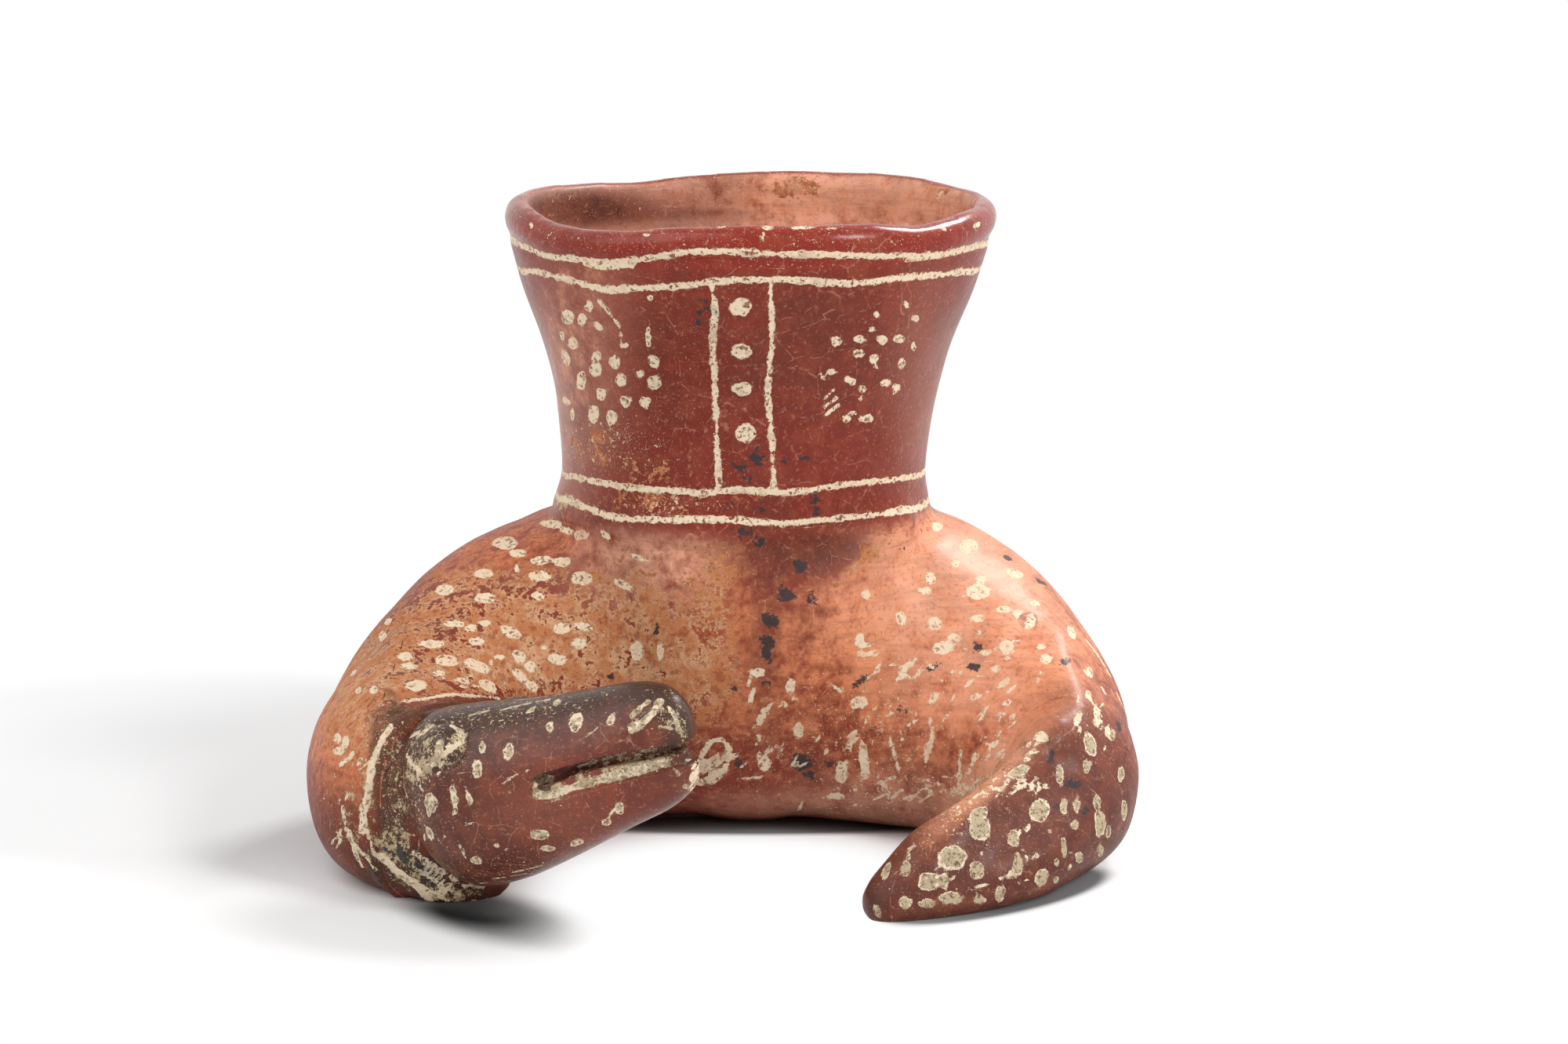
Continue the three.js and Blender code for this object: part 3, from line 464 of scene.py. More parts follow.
BODY_PATCHES = {
    # Along tilt 42 and 46 it is a painted highlight on the lit ridge under the neck and on the tail's
    # crest,
    # The orange at (1225, 740) lightens the right haunch's top, partly its slip and partly painted light.
    # and the negative one at (1045, 705) is painted shade in the hollow under the neck's foot.
    "orange": (
        (1190, 850, 400, 360, 0, 0.4), (1225, 740, 270, 170, -35, 0.95), (1120, 790, 220, 150, 0, 0.7),
        (1250, 860, 280, 150, 0, 0.5), (640, 705, 200, 110, 28, 0.4), (900, 800, 130, 260, 0, 0.45),
        (450, 940, 110, 230, 15, 0.7), (1030, 850, 110, 230, 0, -0.3), (1045, 705, 150, 90, 20, -0.75),
        (1120, 700, 120, 20, 42, 0.6), (1250, 1000, 230, 50, 46, 0.8), (1000, 900, 140, 90, 0, 0.35),
    ),
    # (870, 690) and (800, 690) it is a painted highlight on the left haunch's bulge, at (1060, 1032)
    # painted
    # The pink at (1210, 780) lightens the right haunch's top, partly painted light. At (815, 725),
    # crest. The negative one at (1045, 705) is painted shade in the hollow under the neck's foot.
    # light along the bottom edge, and along tilt 42 to 46 painted highlights on the lit ridge and the
    # tail's
    "pink": (
        (1210, 780, 300, 230, -35, 0.65), (1060, 870, 150, 220, 0, -0.3),
        (1045, 705, 150, 90, 20, -0.75), (815, 725, 150, 110, 10, 0.75), (870, 690, 110, 90, 0, 0.5),
        (800, 690, 90, 50, 0, 0.5), (1150, 1010, 240, 60, 0, 0.35), (1130, 700, 60, 90, 45, 0.35),
        (1060, 1032, 320, 36, 0, 0.7), (1250, 1000, 200, 40, 46, 0.7), (1260, 990, 150, 40, 42, 0.5),
    ),
    # Painted shade in the brown: the hollow under the neck's foot at (1040, 705) and (1060, 690), the
    # valley
    # at (975, 820), the crease beside the arm's end at (500, 868) and the bottom edge at (1000, 1040). The
    # negative one on the tail's crest at (1250, 1000) is a painted highlight.
    "brown": (
        (1040, 705, 110, 60, 20, 0.35), (1270, 1100, 320, 160, 25, 0.9),
        (1250, 1000, 200, 40, 46, -0.5), (1400, 1000, 120, 260, 0, 0.35),
        (1010, 960, 330, 130, 0, 0.25), (960, 700, 120, 90, 0, 0.4), (1060, 690, 140, 70, 0, 0.55),
        (480, 1080, 180, 120, 0, 0.45), (1000, 1040, 400, 36, 0, 0.45), (430, 1050, 80, 150, 0, 0.45),
        (975, 820, 40, 240, 0, 0.4), (640, 745, 130, 40, 10, 0.5), (590, 790, 70, 26, 0, 0.6),
        (550, 805, 60, 20, 0, 0.6), (790, 875, 60, 20, 0, 0.4), (500, 868, 24, 110, 20, 0.6),
        (545, 850, 120, 26, 0, 0.5),
    ),
    # The buff along tilt 42 under the neck and at (1240, 1018) on the tail's crest is a painted highlight
    # on lit ridges.
    "buff": (
        (1105, 712, 130, 14, 42, 0.6), (1240, 1018, 170, 24, 46, 0.5), (600, 820, 310, 130, 18, 0.5),
        (740, 815, 260, 110, 0, 0.54), (700, 860, 340, 70, 0, 0.5), (820, 790, 110, 120, 0, 0.5),
        (912, 735, 50, 130, 5, 0.46), (902, 860, 96, 190, 0, 0.5), (640, 700, 200, 90, 28, 0.22),
        (730, 745, 260, 60, 5, 0.3), (440, 925, 80, 160, 20, 0.5), (470, 860, 90, 190, 24, 0.45),
        (840, 870, 160, 70, 0, 0.5), (545, 770, 150, 60, 38, 0.45), (1170, 668, 50, 26, 0, 0.3),
        (1100, 700, 60, 14, 42, 0.25),
    ),
    # (496, 880), under the throat at (595, 1146), down the valley at (976, 810) and in the hollow at (1062,
    # 704).
    # In the groove behind the head, at (480, 960), (512, 950) and (500, 1015), they are fire clouds and
    # painted shade.
    # Painted shade in these dark patches: between the haunch and the head at (590, 905), along the crease
    # at
    "soot": (
        (590, 905, 190, 34, 5, 0.85), (480, 960, 20, 120, 5, 0.5), (496, 880, 14, 90, 20, 0.3),
        (500, 1015, 52, 190, 4, 0.92), (512, 950, 36, 120, 14, 0.6), (595, 1146, 190, 44, 0, 0.85),
        (480, 1112, 70, 50, -35, 0.7), (540, 1110, 140, 60, -30, 0.8), (1110, 1155, 40, 40, 0, 0.6),
        (976, 810, 36, 220, 0, 0.25), (1248, 825, 56, 70, 0, 0.5), (1180, 1120, 160, 60, 10, 0.35),
        (1330, 960, 60, 40, 0, 0.4), (1062, 704, 50, 40, 25, 0.3), (1110, 890, 90, 40, 30, 0.25),
        (440, 1090, 60, 60, 0, 0.3),
    ),
    "grime": (
        (716, 655, 50, 30, 20, 0.6), (1186, 652, 60, 24, -10, 0.55), (470, 1010, 22, 170, 4, 0.42),
        (530, 1115, 140, 50, -32, 0.5), (506, 1000, 40, 180, 5, 0.42), (445, 1040, 26, 110, 0, 0.4),
        (505, 1075, 40, 40, 0, 0.35), (590, 1140, 80, 20, 0, 0.4),
    ),
    # The scrape along the tail's crest at (1252, 1000) is scratching, made denser as a painted highlight.
    "scrape": (
        (1080, 950, 300, 190, 0, 0.62), (1180, 890, 260, 120, 0, 0.5), (1252, 1000, 200, 40, 46, 0.98),
        (1160, 1015, 200, 50, 0, 0.62), (440, 1000, 70, 160, 0, 0.5), (505, 990, 60, 220, 5, 0.85),
        (880, 960, 80, 80, 0, 0.6), (1230, 1080, 220, 130, 30, 0.4), (620, 700, 120, 60, 0, 0.3),
        (1400, 900, 90, 160, 0, 0.4),
    ),
}  # fmt: skip
HEAD_PATCHES = {
    "brown": (
        (720, 900, 330, 90, 8, 0.4), (570, 1000, 150, 260, 0, 0.25), (735, 1030, 260, 130, 0, -0.45),
        (860, 920, 60, 90, 0, 0.3),
    ),
    # The pink at (755, 930) is a painted sheen on the head.
    "pink": ((640, 1050, 260, 130, 10, 0.2), (755, 930, 190, 50, 12, 0.32)),
    # The dark patches under the throat at (625, 1148) and along the mouth's slit at (742, 978) are painted
    # shade.
    "soot": (
        (700, 893, 290, 44, 10, 1.0), (830, 880, 90, 40, 0, 1.0), (560, 930, 100, 90, 0, 0.8),
        (865, 910, 60, 110, 0, 0.85), (600, 985, 170, 90, 0, 0.35), (518, 1010, 60, 150, 0, 0.6),
        (530, 1120, 170, 70, -25, 0.9), (625, 1148, 90, 34, 0, 0.8), (870, 965, 30, 30, 0, 0.6),
        (700, 925, 240, 40, 8, 0.5), (562, 950, 50, 60, 0, 0.9), (742, 978, 130, 10, 14, 0.7),
    ),
    "grime": (
        (820, 914, 54, 24, 42, 0.4), (857, 912, 40, 56, 10, 0.42), (870, 935, 14, 36, 0, 0.4),
        (585, 940, 30, 50, -10, 0.4), (560, 965, 70, 40, 30, 0.5), (530, 984, 44, 34, -20, 0.5),
        (540, 935, 40, 40, -35, 0.42), (575, 1130, 100, 20, 8, 0.4), (698, 1006, 44, 36, 10, 0.5),
        (760, 992, 150, 26, 15, 0.5), (830, 976, 90, 24, 14, 0.5), (800, 966, 150, 24, 13, 0.36),
    ),
    "scrape": (
        (524, 1000, 50, 160, 0, 0.95), (555, 960, 90, 80, 0, 0.9), (660, 905, 280, 50, 9, 0.8),
        (640, 1110, 180, 40, 10, 0.55), (560, 1080, 90, 120, 0, 0.4), (700, 1040, 260, 120, 0, 0.2),
        (850, 900, 60, 60, 0, 0.6),
    ),
}  # fmt: skip

# Places pressed or raised by the thumb: reach and amount in millimetres, and the points of the stroke.
BODY_PRESSES = (
    (13, -3.0, ((978, 712), (976, 790), (980, 880), (986, 950))),
    (12, -3.2, ((1062, 704),)),
    (5, 2.2, ((1158, 668), (1128, 697), (1091, 730), (1050, 756))),
    (9, -1.6, ((1080, 700), (1040, 730))),
    (26, 1.6, ((430, 1060),)),
    (14, 0.9, ((452, 1105), (480, 1128))),
    (12, -0.9, ((470, 822), (486, 796), (510, 768))),
    (12, 1.6, ((560, 1144), (610, 1144))),
    (7, 2.2, ((1367, 805), (1365, 866), (1362, 903), (1344, 930))),
    (6, 1.6, ((512, 815), (492, 875), (476, 925))),
    (9, 1.7, ((1328, 945), (1292, 988), (1260, 1013), (1224, 1037), (1192, 1058))),
    (4.5, 1.0, ((1342, 935), (1322, 958), (1296, 990), (1266, 1030), (1223, 1076), (1190, 1100))),
    (8, -2.8, ((1350, 995), (1318, 1032), (1280, 1070), (1240, 1105))),
    (20, -2.6, ((1250, 705), (1300, 750), (1345, 800))),
    (14, -1.3, ((1285, 700), (1322, 732), (1352, 770))),
    (18, -0.8, ((1432, 1060), (1420, 1092))),
    (14, 1.0, ((1438, 940),)),
    (6, 1.2, ((702, 642), (716, 658))),
    (16, 0.7, ((880, 1035), (950, 1038), (1020, 1040))),
    (22, 3.3, ((1120, 1022),)),
    (10, 1.8, ((1140, 1160), (1250, 1150), (1335, 1125))),
    (7, 1.2, ((1112, 1148),)),
    (22, -1.5, ((1300, 765),)),
    (3, -0.9, ((497, 945), (490, 985), (490, 1040), (505, 1078))),
    (2.5, 0.7, ((500, 960), (502, 985))),
)

# Inside of the neck, seen through the mouth. Its right side is painted lighter with pink and orange and its
# left side darker with brown and dark patches: painted light and shade on the slip.
BORE_PATCHES = {
    "pink": ((1120, 252, 320, 70, 0, 0.7),),
    "brown": ((740, 264, 190, 60, 0, 0.75), (880, 275, 200, 20, 0, 0.35)),
    "buff": ((1015, 238, 60, 26, 0, 0.6), (1200, 243, 50, 14, 20, 0.5)),
    "orange": ((1100, 250, 360, 80, 0, 0.9),),
    "scrape": ((1150, 250, 160, 40, 0, 0.3),),
    "soot": ((690, 255, 40, 30, 0, 0.5),),
}  # fmt: skip

# Light of the studio all round, and the lamps: name, place, size and power in watts.
WORLD_LIGHT = 0.5
LAMPS_AIM = Vector((0, 0, 0.06))
FLOOR_SIZE = 30
WHITE, BLACK = (1, 1, 1, 1), (0, 0, 0, 1)
LAMPS = (
    ("left_lamp", (-0.8, -0.45, 1.15), 1.2, 9.5),
    ("right_lamp", (0.95, -0.72, 0.98), 0.35, 9.5),
    ("back_lamp", (0.9, 1.0, 1.27), 0.4, 20),
)

# Soft ovals on the paper: middle, half length, turn, slimness and softness. It shows near the jar, but
# between the arms it glows white, a painted light over the jar's shade, and it is darker in painted
# shadows behind the jar on the left, under the head's foot, along the tail's edge and under the belly.
PAPER_TONE = 0.8
PAPER_NEAR = (-0.06, 0.02, 0.175)
PAPER_CLEARED = (0.005, -0.062, 0.06)
PAPER_SHADES = (
    (0.3, (-0.17, 0.08, 0.13)),
    (0.5, (-0.060, -0.084, 0.031, -50, 1.9, 0.4)),
    (0.28, (-0.066, -0.077, 0.024, -40, 1.6, 0.5)),
    (0.2, (-0.086, -0.094, 0.044, -20, 1.6, 0.4)),
    (0.85, (0.0745, -0.0645, 0.04, 40, 2.6, 0.12)),
    (0.85, (0.008, 0.008, 0.055, 0, 5)),
)

# Fields of short scratches: across, up, width, height, tilt and count.
SCRATCH_FIELDS = (
    (1080, 960, 280, 170, 60, 46), (1170, 900, 260, 120, 40, 34), (1255, 1000, 170, 34, 46, 60),
    (1160, 1015, 180, 40, 10, 20), (985, 920, 80, 120, 60, 12), (1400, 900, 60, 160, -70, 12),
    (440, 1010, 60, 150, 60, 16), (900, 970, 80, 60, 20, 10), (640, 860, 200, 40, -20, 10),
    (560, 1000, 80, 200, 70, 12), (1290, 960, 110, 30, 48, 16), (1300, 800, 200, 200, 30, 16),
    (1250, 1080, 260, 120, 40, 30),
)  # fmt: skip


def deselect():
    """Leaves object mode's selection empty, as each new primitive needs."""
    if bpy.context.object and bpy.context.object.mode != "OBJECT":
        bpy.ops.object.mode_set(mode="OBJECT")
    bpy.ops.object.select_all(action="DESELECT")


def applied():
    """A new primitive, with its place and turn applied."""
    bpy.ops.object.transform_apply(location=True, rotation=True, scale=False)
    return bpy.context.object


def make_active(piece):
    """Selects one piece alone."""
    deselect()
    piece.select_set(True)
    bpy.context.view_layer.objects.active = piece


def apply_modifier(piece, kind, **settings):
    """Adds a modifier with its settings and applies it."""
    make_active(piece)
    modifier = piece.modifiers.new(kind.title(), kind)
    for name, value in settings.items():
        setattr(modifier, name, value)
    bpy.ops.object.modifier_apply(modifier=modifier.name)
    if not piece.data.polygons:
        raise RuntimeError(f"{piece.name} is empty after its {kind} modifier")


def cut(piece, tool, operation):
    """Joins, cuts or crops a piece with another solid, which stays as it is."""
    apply_modifier(piece, "BOOLEAN", operation=operation, solver="MANIFOLD", object=tool)


def remove(*pieces):
    """Deletes working solids."""
    for piece in pieces:
        mesh = piece.data
        bpy.data.objects.remove(piece)
        bpy.data.meshes.remove(mesh)


def places_of(piece):
    """A piece's vertices as an array."""
    values = np.empty(3 * len(piece.data.vertices), np.float32)
    piece.data.vertices.foreach_get("co", values)
    return values.reshape(-1, 3).astype(float)


def normals_of(piece):
    """The normals at a piece's vertices as an array."""
    values = np.empty(3 * len(piece.data.vertices), np.float32)
    piece.data.vertex_normals.foreach_get("vector", values)
    return values.reshape(-1, 3).astype(float)


def move_to(piece, places):
    """Moves a piece's vertices."""
    piece.data.vertices.foreach_set("co", places.astype(np.float32).ravel())
    piece.data.update()


def ease(low, high, value):
    """A smooth step from 0 at low to 1 at high, which may be the smaller one."""
    share = np.clip((value - low) / (high - low), 0, 1)
    return share * share * (3 - 2 * share)


def fill_creases(piece, middle, near, far, rounds=90):
    """Presses clay into the creases within a level distance of a place and takes none away."""
    edges = np.empty(2 * len(piece.data.edges), np.int32)
    piece.data.edges.foreach_get("vertices", edges)
    first, second = edges.reshape(-1, 2).T
    places, normals = places_of(piece), normals_of(piece)
    count = len(places)
    valence = np.bincount(first, minlength=count) + np.bincount(second, minlength=count)
    eased = places.copy()
    for _ in range(rounds):
        for axis in range(3):
            column = eased[:, axis]
            total = np.bincount(first, column[second], count) + np.bincount(second, column[first], count)
            eased[:, axis] = (column + total / valence) / 2
    gain = np.maximum(((eased - places) * normals).sum(1), 0)
    distance = np.hypot(places[:, 0] - middle.x, places[:, 1] - middle.y)
    gain *= 1 - ease(near, far, distance)
    move_to(piece, places + normals * gain[:, None])


def duplicate(piece, name):
    """A copy of a piece with its own mesh."""
    make_active(piece)
    bpy.ops.object.duplicate()
    made = bpy.context.object
    made.name = name
    made.data.name = name
    return made


def face_outwards():
    """Points the faces of the mesh in edit mode outwards and leaves edit mode."""
    bpy.ops.mesh.select_all(action="SELECT")
    bpy.ops.mesh.remove_doubles(threshold=0.01 * MM)
    bpy.ops.mesh.normals_make_consistent(inside=False)
    bpy.ops.object.mode_set(mode="OBJECT")


def stretched(name, rings):
    """A closed skin through rings of points: a disc, extruded and shaped from ring to ring."""
    deselect()
    bpy.ops.mesh.primitive_circle_add(vertices=len(rings[0]), fill_type="NGON")
    piece = bpy.context.object
    piece.name = name
    bpy.ops.object.mode_set(mode="EDIT")
    mesh = bmesh.from_edit_mesh(piece.data)
    side = mesh.verts.layers.int.new("side")
    for vertex in mesh.verts:
        vertex[side] = vertex.index
        vertex.co = rings[0][vertex.index]
    bmesh.update_edit_mesh(piece.data)
    for ring in rings[1:]:
        bpy.ops.mesh.extrude_region_move()
        mesh = bmesh.from_edit_mesh(piece.data)
        side = mesh.verts.layers.int["side"]
        for vertex in mesh.verts:
            if vertex.select:
                vertex.co = ring[vertex[side]]
        bmesh.update_edit_mesh(piece.data)
    face_outwards()
    piece.data.attributes.remove(piece.data.attributes["side"])
    return piece


def spun(name, profile, steps=96):
    """A solid of revolution about the neck's axis, from a closed profile of radii and heights."""
    deselect()
    bpy.ops.mesh.primitive_circle_add(vertices=len(profile), fill_type="NOTHING")
    piece = bpy.context.object
    piece.name = name
    for vertex, (radius, height) in zip(piece.data.vertices, profile):
        vertex.co = (NECK_AXIS.x + radius, NECK_AXIS.y, height)
    bpy.ops.object.mode_set(mode="EDIT")
    bpy.ops.mesh.select_all(action="SELECT")
    bpy.ops.mesh.spin(steps=steps, angle=2 * math.pi, center=NECK_AXIS, axis=(0, 0, 1))
    face_outwards()
    return piece


def round_ring(radius, height, sides=64):
    """A level circle about the neck's axis."""
    turns = [2 * math.pi * index / sides for index in range(sides)]
    return [NECK_AXIS + Vector((radius * math.cos(t), radius * math.sin(t), height)) for t in turns]


def between(rows, place):
    """The row at a place between given rows, on a smooth curve through them all."""
    rows = np.asarray(rows, float)
    index = min(int(place), len(rows) - 2)
    share = place - index
    here, there = rows[index], rows[index + 1]
    before = rows[index - 1] if index else 2 * here - there
    after = rows[index + 2] if index + 2 < len(rows) else 2 * there - here
    start, end = (there - before) / 2, (after - here) / 2
    square, cube = share**2, share**3
    return (
        (2 * cube - 3 * square + 1) * here
        + (cube - 2 * square + share) * start
        + (3 * square - 2 * cube) * there
        + (cube - square) * end
    )


def curve(rows, steps):
    """Rows on a smooth curve through given ones."""
    return [between(rows, index / steps) for index in range(steps * (len(rows) - 1) + 1)]


def signed_power(value, power):
    """A power that keeps the sign."""
    return math.copysign(abs(value) ** power, value)


def oval(middle, heading, half_width, half_rise, crest, sides=48):
    """The points of an upright oval across a heading, pinched towards its crest."""
    across = Vector((heading.y, -heading.x, 0))
    ring = []
    for index in range(sides):
        angle = 2 * math.pi * index / sides
        rise = signed_power(math.sin(angle), 2 / OVAL_POWER)
        out = signed_power(math.cos(angle), 2 / OVAL_POWER) * (1 - crest * max(0, rise) ** CREST_POWER)
        ring.append(middle + across * (out * half_width) + Vector((0, 0, rise * half_rise)))
    return ring


class BodyLine:
    """The line of the crescent body: its middle, heading and girth at any station."""

    def __init__(self, sizes):
        half = sizes.height / 2
        stations = [(*row, -sizes.left_reach, sizes.left_advance) for row in LEFT_STATION_SHARES]
        stations.append((*CENTRE_STATION_SHARES, 0, sizes.right_advance))
        stations += [(*row, sizes.right_reach, sizes.right_advance) for row in RIGHT_STATION_SHARES]
        self.rows = [
            (
                share * reach + NECK_AXIS.x,
                NECK_AXIS.y - advance_share * advance,
                height * half - sizes.ground_flat,
                width * sizes.half_width,
                height * half,
                crest,
            )
            for share, advance_share, width, height, crest, reach, advance in stations
        ]

    def at(self, station):
        """The middle, the level heading towards the tail, and the half width, half height and crest."""
        row = between(self.rows, station)
        step = 0.01
        ahead = between(self.rows, min(station + step, LAST_STATION))
        behind = between(self.rows, max(station - step, 0))
        heading = Vector(ahead[:3] - behind[:3])
        heading.z = 0
        return Vector(row[:3]), heading.normalized(), row[3:]

    def ring(self, station, inset=0, shift=0):
        """The oval at a station, drawn in by inset and slid along the heading by shift."""
        middle, heading, (half_width, half_rise, crest) = self.at(station)
        return oval(middle + heading * shift, heading, half_width - inset, half_rise - inset, crest)

    def length(self, name, start, end, inset=0, rings_per_station=4):
        """The body between two stations as a closed solid."""
        count = round((end - start) * rings_per_station)
        places = [start + (end - start) * index / count for index in range(count + 1)]
        return stretched(name, [self.ring(place, inset) for place in places])


def belly_rings(sizes, neck, inset, top, steps=4):
    """The rings of the turned swelling under the neck, up to a height."""
    radius = neck.foot_radius + sizes.belly_swell
    foot = SHOULDER_TOP + sizes.ground_flat
    rows = [(share * radius - inset, max(rise * foot, inset)) for share, rise in BELLY_SHARES]
    rows += [(neck.foot_radius - inset, foot), (neck.foot_radius - inset, top)]
    return [round_ring(*row) for row in (*curve(rows, steps)[:-steps], rows[-1])]


def neck_profile(neck, steps=4, lip_steps=18):
    """The closed section of the neck and its lip: up the outside, over the lip, down the inside."""
    foot = SHOULDER_TOP
    rise = LIP_SEAM - foot
    outside = [(neck.foot_radius + flare * neck.flare, foot + share * rise) for flare, share in NECK_SHARES]
    outside = curve(outside, steps)
    middle = outside[-1][0] - neck.wall / 2
    lip_middle = LIP_SEAM + neck.lip_height / 2
    lip = []
    start, end = LIP_HALF_TURNS
    for index in range(lip_steps + 1):
        angle = math.pi * (start + (end - start) * index / lip_steps)
        half = neck.lip_thickness / 2 if math.cos(angle) > 0 else neck.wall / 2
        height = lip_middle + math.sin(angle) * neck.lip_height / 2
        lip.append((middle + math.cos(angle) * half, height))
    inside = [(radius - neck.wall, height) for radius, height in reversed(outside)]
    return [*outside, *lip, *inside]


def wave_rim(piece, neck):
    """Waves and leans the upper neck by hand, as the potter's thumb left it."""
    azimuths = [row[0] for row in RIM_WAVE_SHARES]
    heights = [row[1] * neck.lip_height for row in RIM_WAVE_SHARES]
    foot = SHOULDER_TOP
    for vertex in piece.data.vertices:
        place = vertex.co - NECK_AXIS
        risen = min(max((place.z - foot) / (LIP_SEAM - foot), 0), RIM_WAVE_LIMIT) ** RIM_WAVE_POWER
        azimuth = math.degrees(math.atan2(place.y, place.x)) % 360
        vertex.co.z += risen * float(np.interp(azimuth, azimuths, heights))
        low = 1 - ease(foot, (foot + LIP_SEAM) / 2, vertex.co.z)
        vertex.co.x += risen * neck.lean - float(low) * neck.foot_slip


def arm_end(line):
    """The left arm's end: its middle, the way out of it, and its girth."""
    middle, heading, girth = line.at(0)
    return middle, -heading, girth


def throat_form(line, sizes):
    """The throat's stump beyond the left arm."""
    middle, out, (half_width, half_rise, _) = arm_end(line)
    across = Vector((-out.y, out.x, 0))
    rings = []
    for (advance, width, height), drift in zip(THROAT_SHARES, THROAT_DRIFT_SHARES):
        rise = height * half_rise
        centre = Vector((middle.x, middle.y, rise - sizes.ground_flat))
        centre += out * (advance * sizes.throat_length) + across * (drift * sizes.throat_length)
        rings.append(oval(centre, out, width * half_width, rise, 0))
    return stretched("throat_form", rings)


def collar_form(line, sizes):
    """The raised coil round the arm's end."""
    rings = [
        line.ring(0, -proud * sizes.collar_proud if proud > 0 else COLLAR_SUNK, -along * MM)
        for along, proud in COLLAR_PROFILE
    ]
    return stretched("collar_form", rings)


def head_at(head, line, share):
    """The middle, half rise and half width of the head at a share of its length."""
    back = arm_end(line)[0]
    length, top, bottom, width, forward = between(HEAD_SHARES, share * (len(HEAD_SHARES) - 1))
    corner = Vector((back.x - HEAD_LEFT, back.y - HEAD_BEFORE, HEAD_LIFT))
    middle = corner + Vector(
        (length * head.length, -forward * head.forward, (top + bottom) / 2 * head.height)
    )
    return middle, (top - bottom) / 2 * head.height, width * head.width / 2


def on_head(head, line, share, angle, grow=0):
    """A point on the head's skin, at an angle from the viewer's side up to the crown."""
    middle, half_rise, half_width = head_at(head, line, share)
    return middle + Vector(
        (
            (2 * share - 1) * grow,
            -math.cos(angle) * max(half_width + grow, half_width * HEAD_CORE_SHARE),
            math.sin(angle) * max(half_rise + grow, half_rise * HEAD_CORE_SHARE),
        )
    )


def head_rings(head, line, grow=0, count=48, sides=56):
    """Rings of the head, grown or shrunk all over."""
    return [
        [on_head(head, line, ring / count, 2 * math.pi * side / sides, grow) for side in range(sides)]
        for ring in range(count + 1)
    ]


def mouth_form(head, line, shares, depth, steps=3):
    """A groove round the snout: a slab of an outline, less the core that it goes round."""
    corner = head_at(head, line, 0)[0]
    corner = Vector((corner.x, corner.y, HEAD_LIFT))
    reach = head.width + head.forward
    rows = curve(shares, steps)
    outline = [(corner.x + x * head.length, corner.z + z * head.height) for x, z in rows]
    rings = [
        [Vector((x, y, z)) for x, z in outline] for y in (corner.y - reach, corner.y + head.width)
    ]
    slab = stretched("mouth_form", rings)
    core = stretched("mouth_core", head_rings(head, line, -depth))
    cut(slab, core, "DIFFERENCE")
    remove(core)
    return slab


def eye_socket(head, line, name):
    """Where an eye sits on the head's skin, and the way out of it."""
    share, turn = EYE_PLACES[name]
    skin = on_head(head, line, share, turn * math.pi)
    above = on_head(head, line, share, turn * math.pi, head.eye_radius)
    return skin, (above - skin).normalized()


def eye_ball(head, line, name, grow=0):
    """An eye's pellet, a ball pressed into the head until only its cap stands proud."""
    skin, outwards = eye_socket(head, line, name)
    centre = skin + outwards * (head.eye_proud - head.eye_radius)
    deselect()
    bpy.ops.mesh.primitive_uv_sphere_add(
        segments=48, ring_count=24, radius=head.eye_radius + grow, location=centre
    )
    return applied()


def eye_groove(head, line, name):
    """The groove pressed round an eye's pellet: a torus that lies in the head's skin."""
    skin, outwards = eye_socket(head, line, name)
    below = head.eye_radius - head.eye_proud
    girth = math.sqrt(head.eye_radius**2 - below**2)
    deselect()
    bpy.ops.mesh.primitive_torus_add(
        major_radius=girth + head.eye_groove,
        minor_radius=head.eye_groove,
        location=skin,
        rotation=outwards.to_track_quat("Z", "Y").to_euler(),
    )
    return applied()


def block(centre, heading, size):
    """A cube that stands on a plane and reaches along a level heading from it."""
    deselect()
    bpy.ops.mesh.primitive_cube_add(size=size, location=centre + heading * (size / 2))
    bpy.context.object.rotation_euler.z = math.atan2(heading.y, heading.x)
    return applied()


def level_block(height):
    """A cube that stands on a level plane."""
    deselect()
    bpy.ops.mesh.primitive_cube_add(size=LEVEL_BLOCK, location=(0, 0, height + LEVEL_BLOCK / 2))
    return applied()


def settle(piece, node, slot, sharp=50):
    """Smooths a piece but for its sharp edges, and lets it stand for its node and ride with the jar."""
    if piece.name != node:
        piece.name = node + "_clay"
    piece.data.name = piece.name
    make_active(piece)
    bpy.ops.object.shade_smooth_by_angle(angle=math.radians(sharp))
    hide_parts(node)
    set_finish(piece, slot)
    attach(piece, "root")
    return piece


def split(source, tool, name):
    """Cuts a solid in two with a tool: what it covers is a new piece, and the source keeps the rest."""
    part = duplicate(source, name)
    cut(part, tool, "INTERSECT")
    cut(source, tool, "DIFFERENCE")
    remove(tool)
    return part


def to_pixels(places):
    """Where the photograph's camera sees places, in its pixels."""
    away = np.asarray(places, float) - np.array(CAMERA_PLACE)
    depth = away @ np.array(LOOK)
    across = PHOTO_MIDDLE[0] + FOCAL_PIXELS * away[:, 0] / depth
    down = PHOTO_MIDDLE[1] - FOCAL_PIXELS * (away @ np.array(LOOK_UP)) / depth
    return across, down


def sight_line(x, y):
    """The direction in which the photograph's camera sees a pixel."""
    across = Vector(((x - PHOTO_MIDDLE[0]) / FOCAL_PIXELS, 0, 0))
    return (LOOK + across + LOOK_UP * ((PHOTO_MIDDLE[1] - y) / FOCAL_PIXELS)).normalized()


def cast(tree, x, y):
    """The clay's place and outward normal under a pixel, or the nearest clay beside it."""
    sight = sight_line(x, y)
    place, normal, _, _ = tree.ray_cast(CAMERA_PLACE, sight)
    if place is None:
        depth = (NECK_AXIS - CAMERA_PLACE).dot(LOOK)
        place, normal, _, _ = tree.find_nearest(CAMERA_PLACE + sight * depth)
    return place, normal


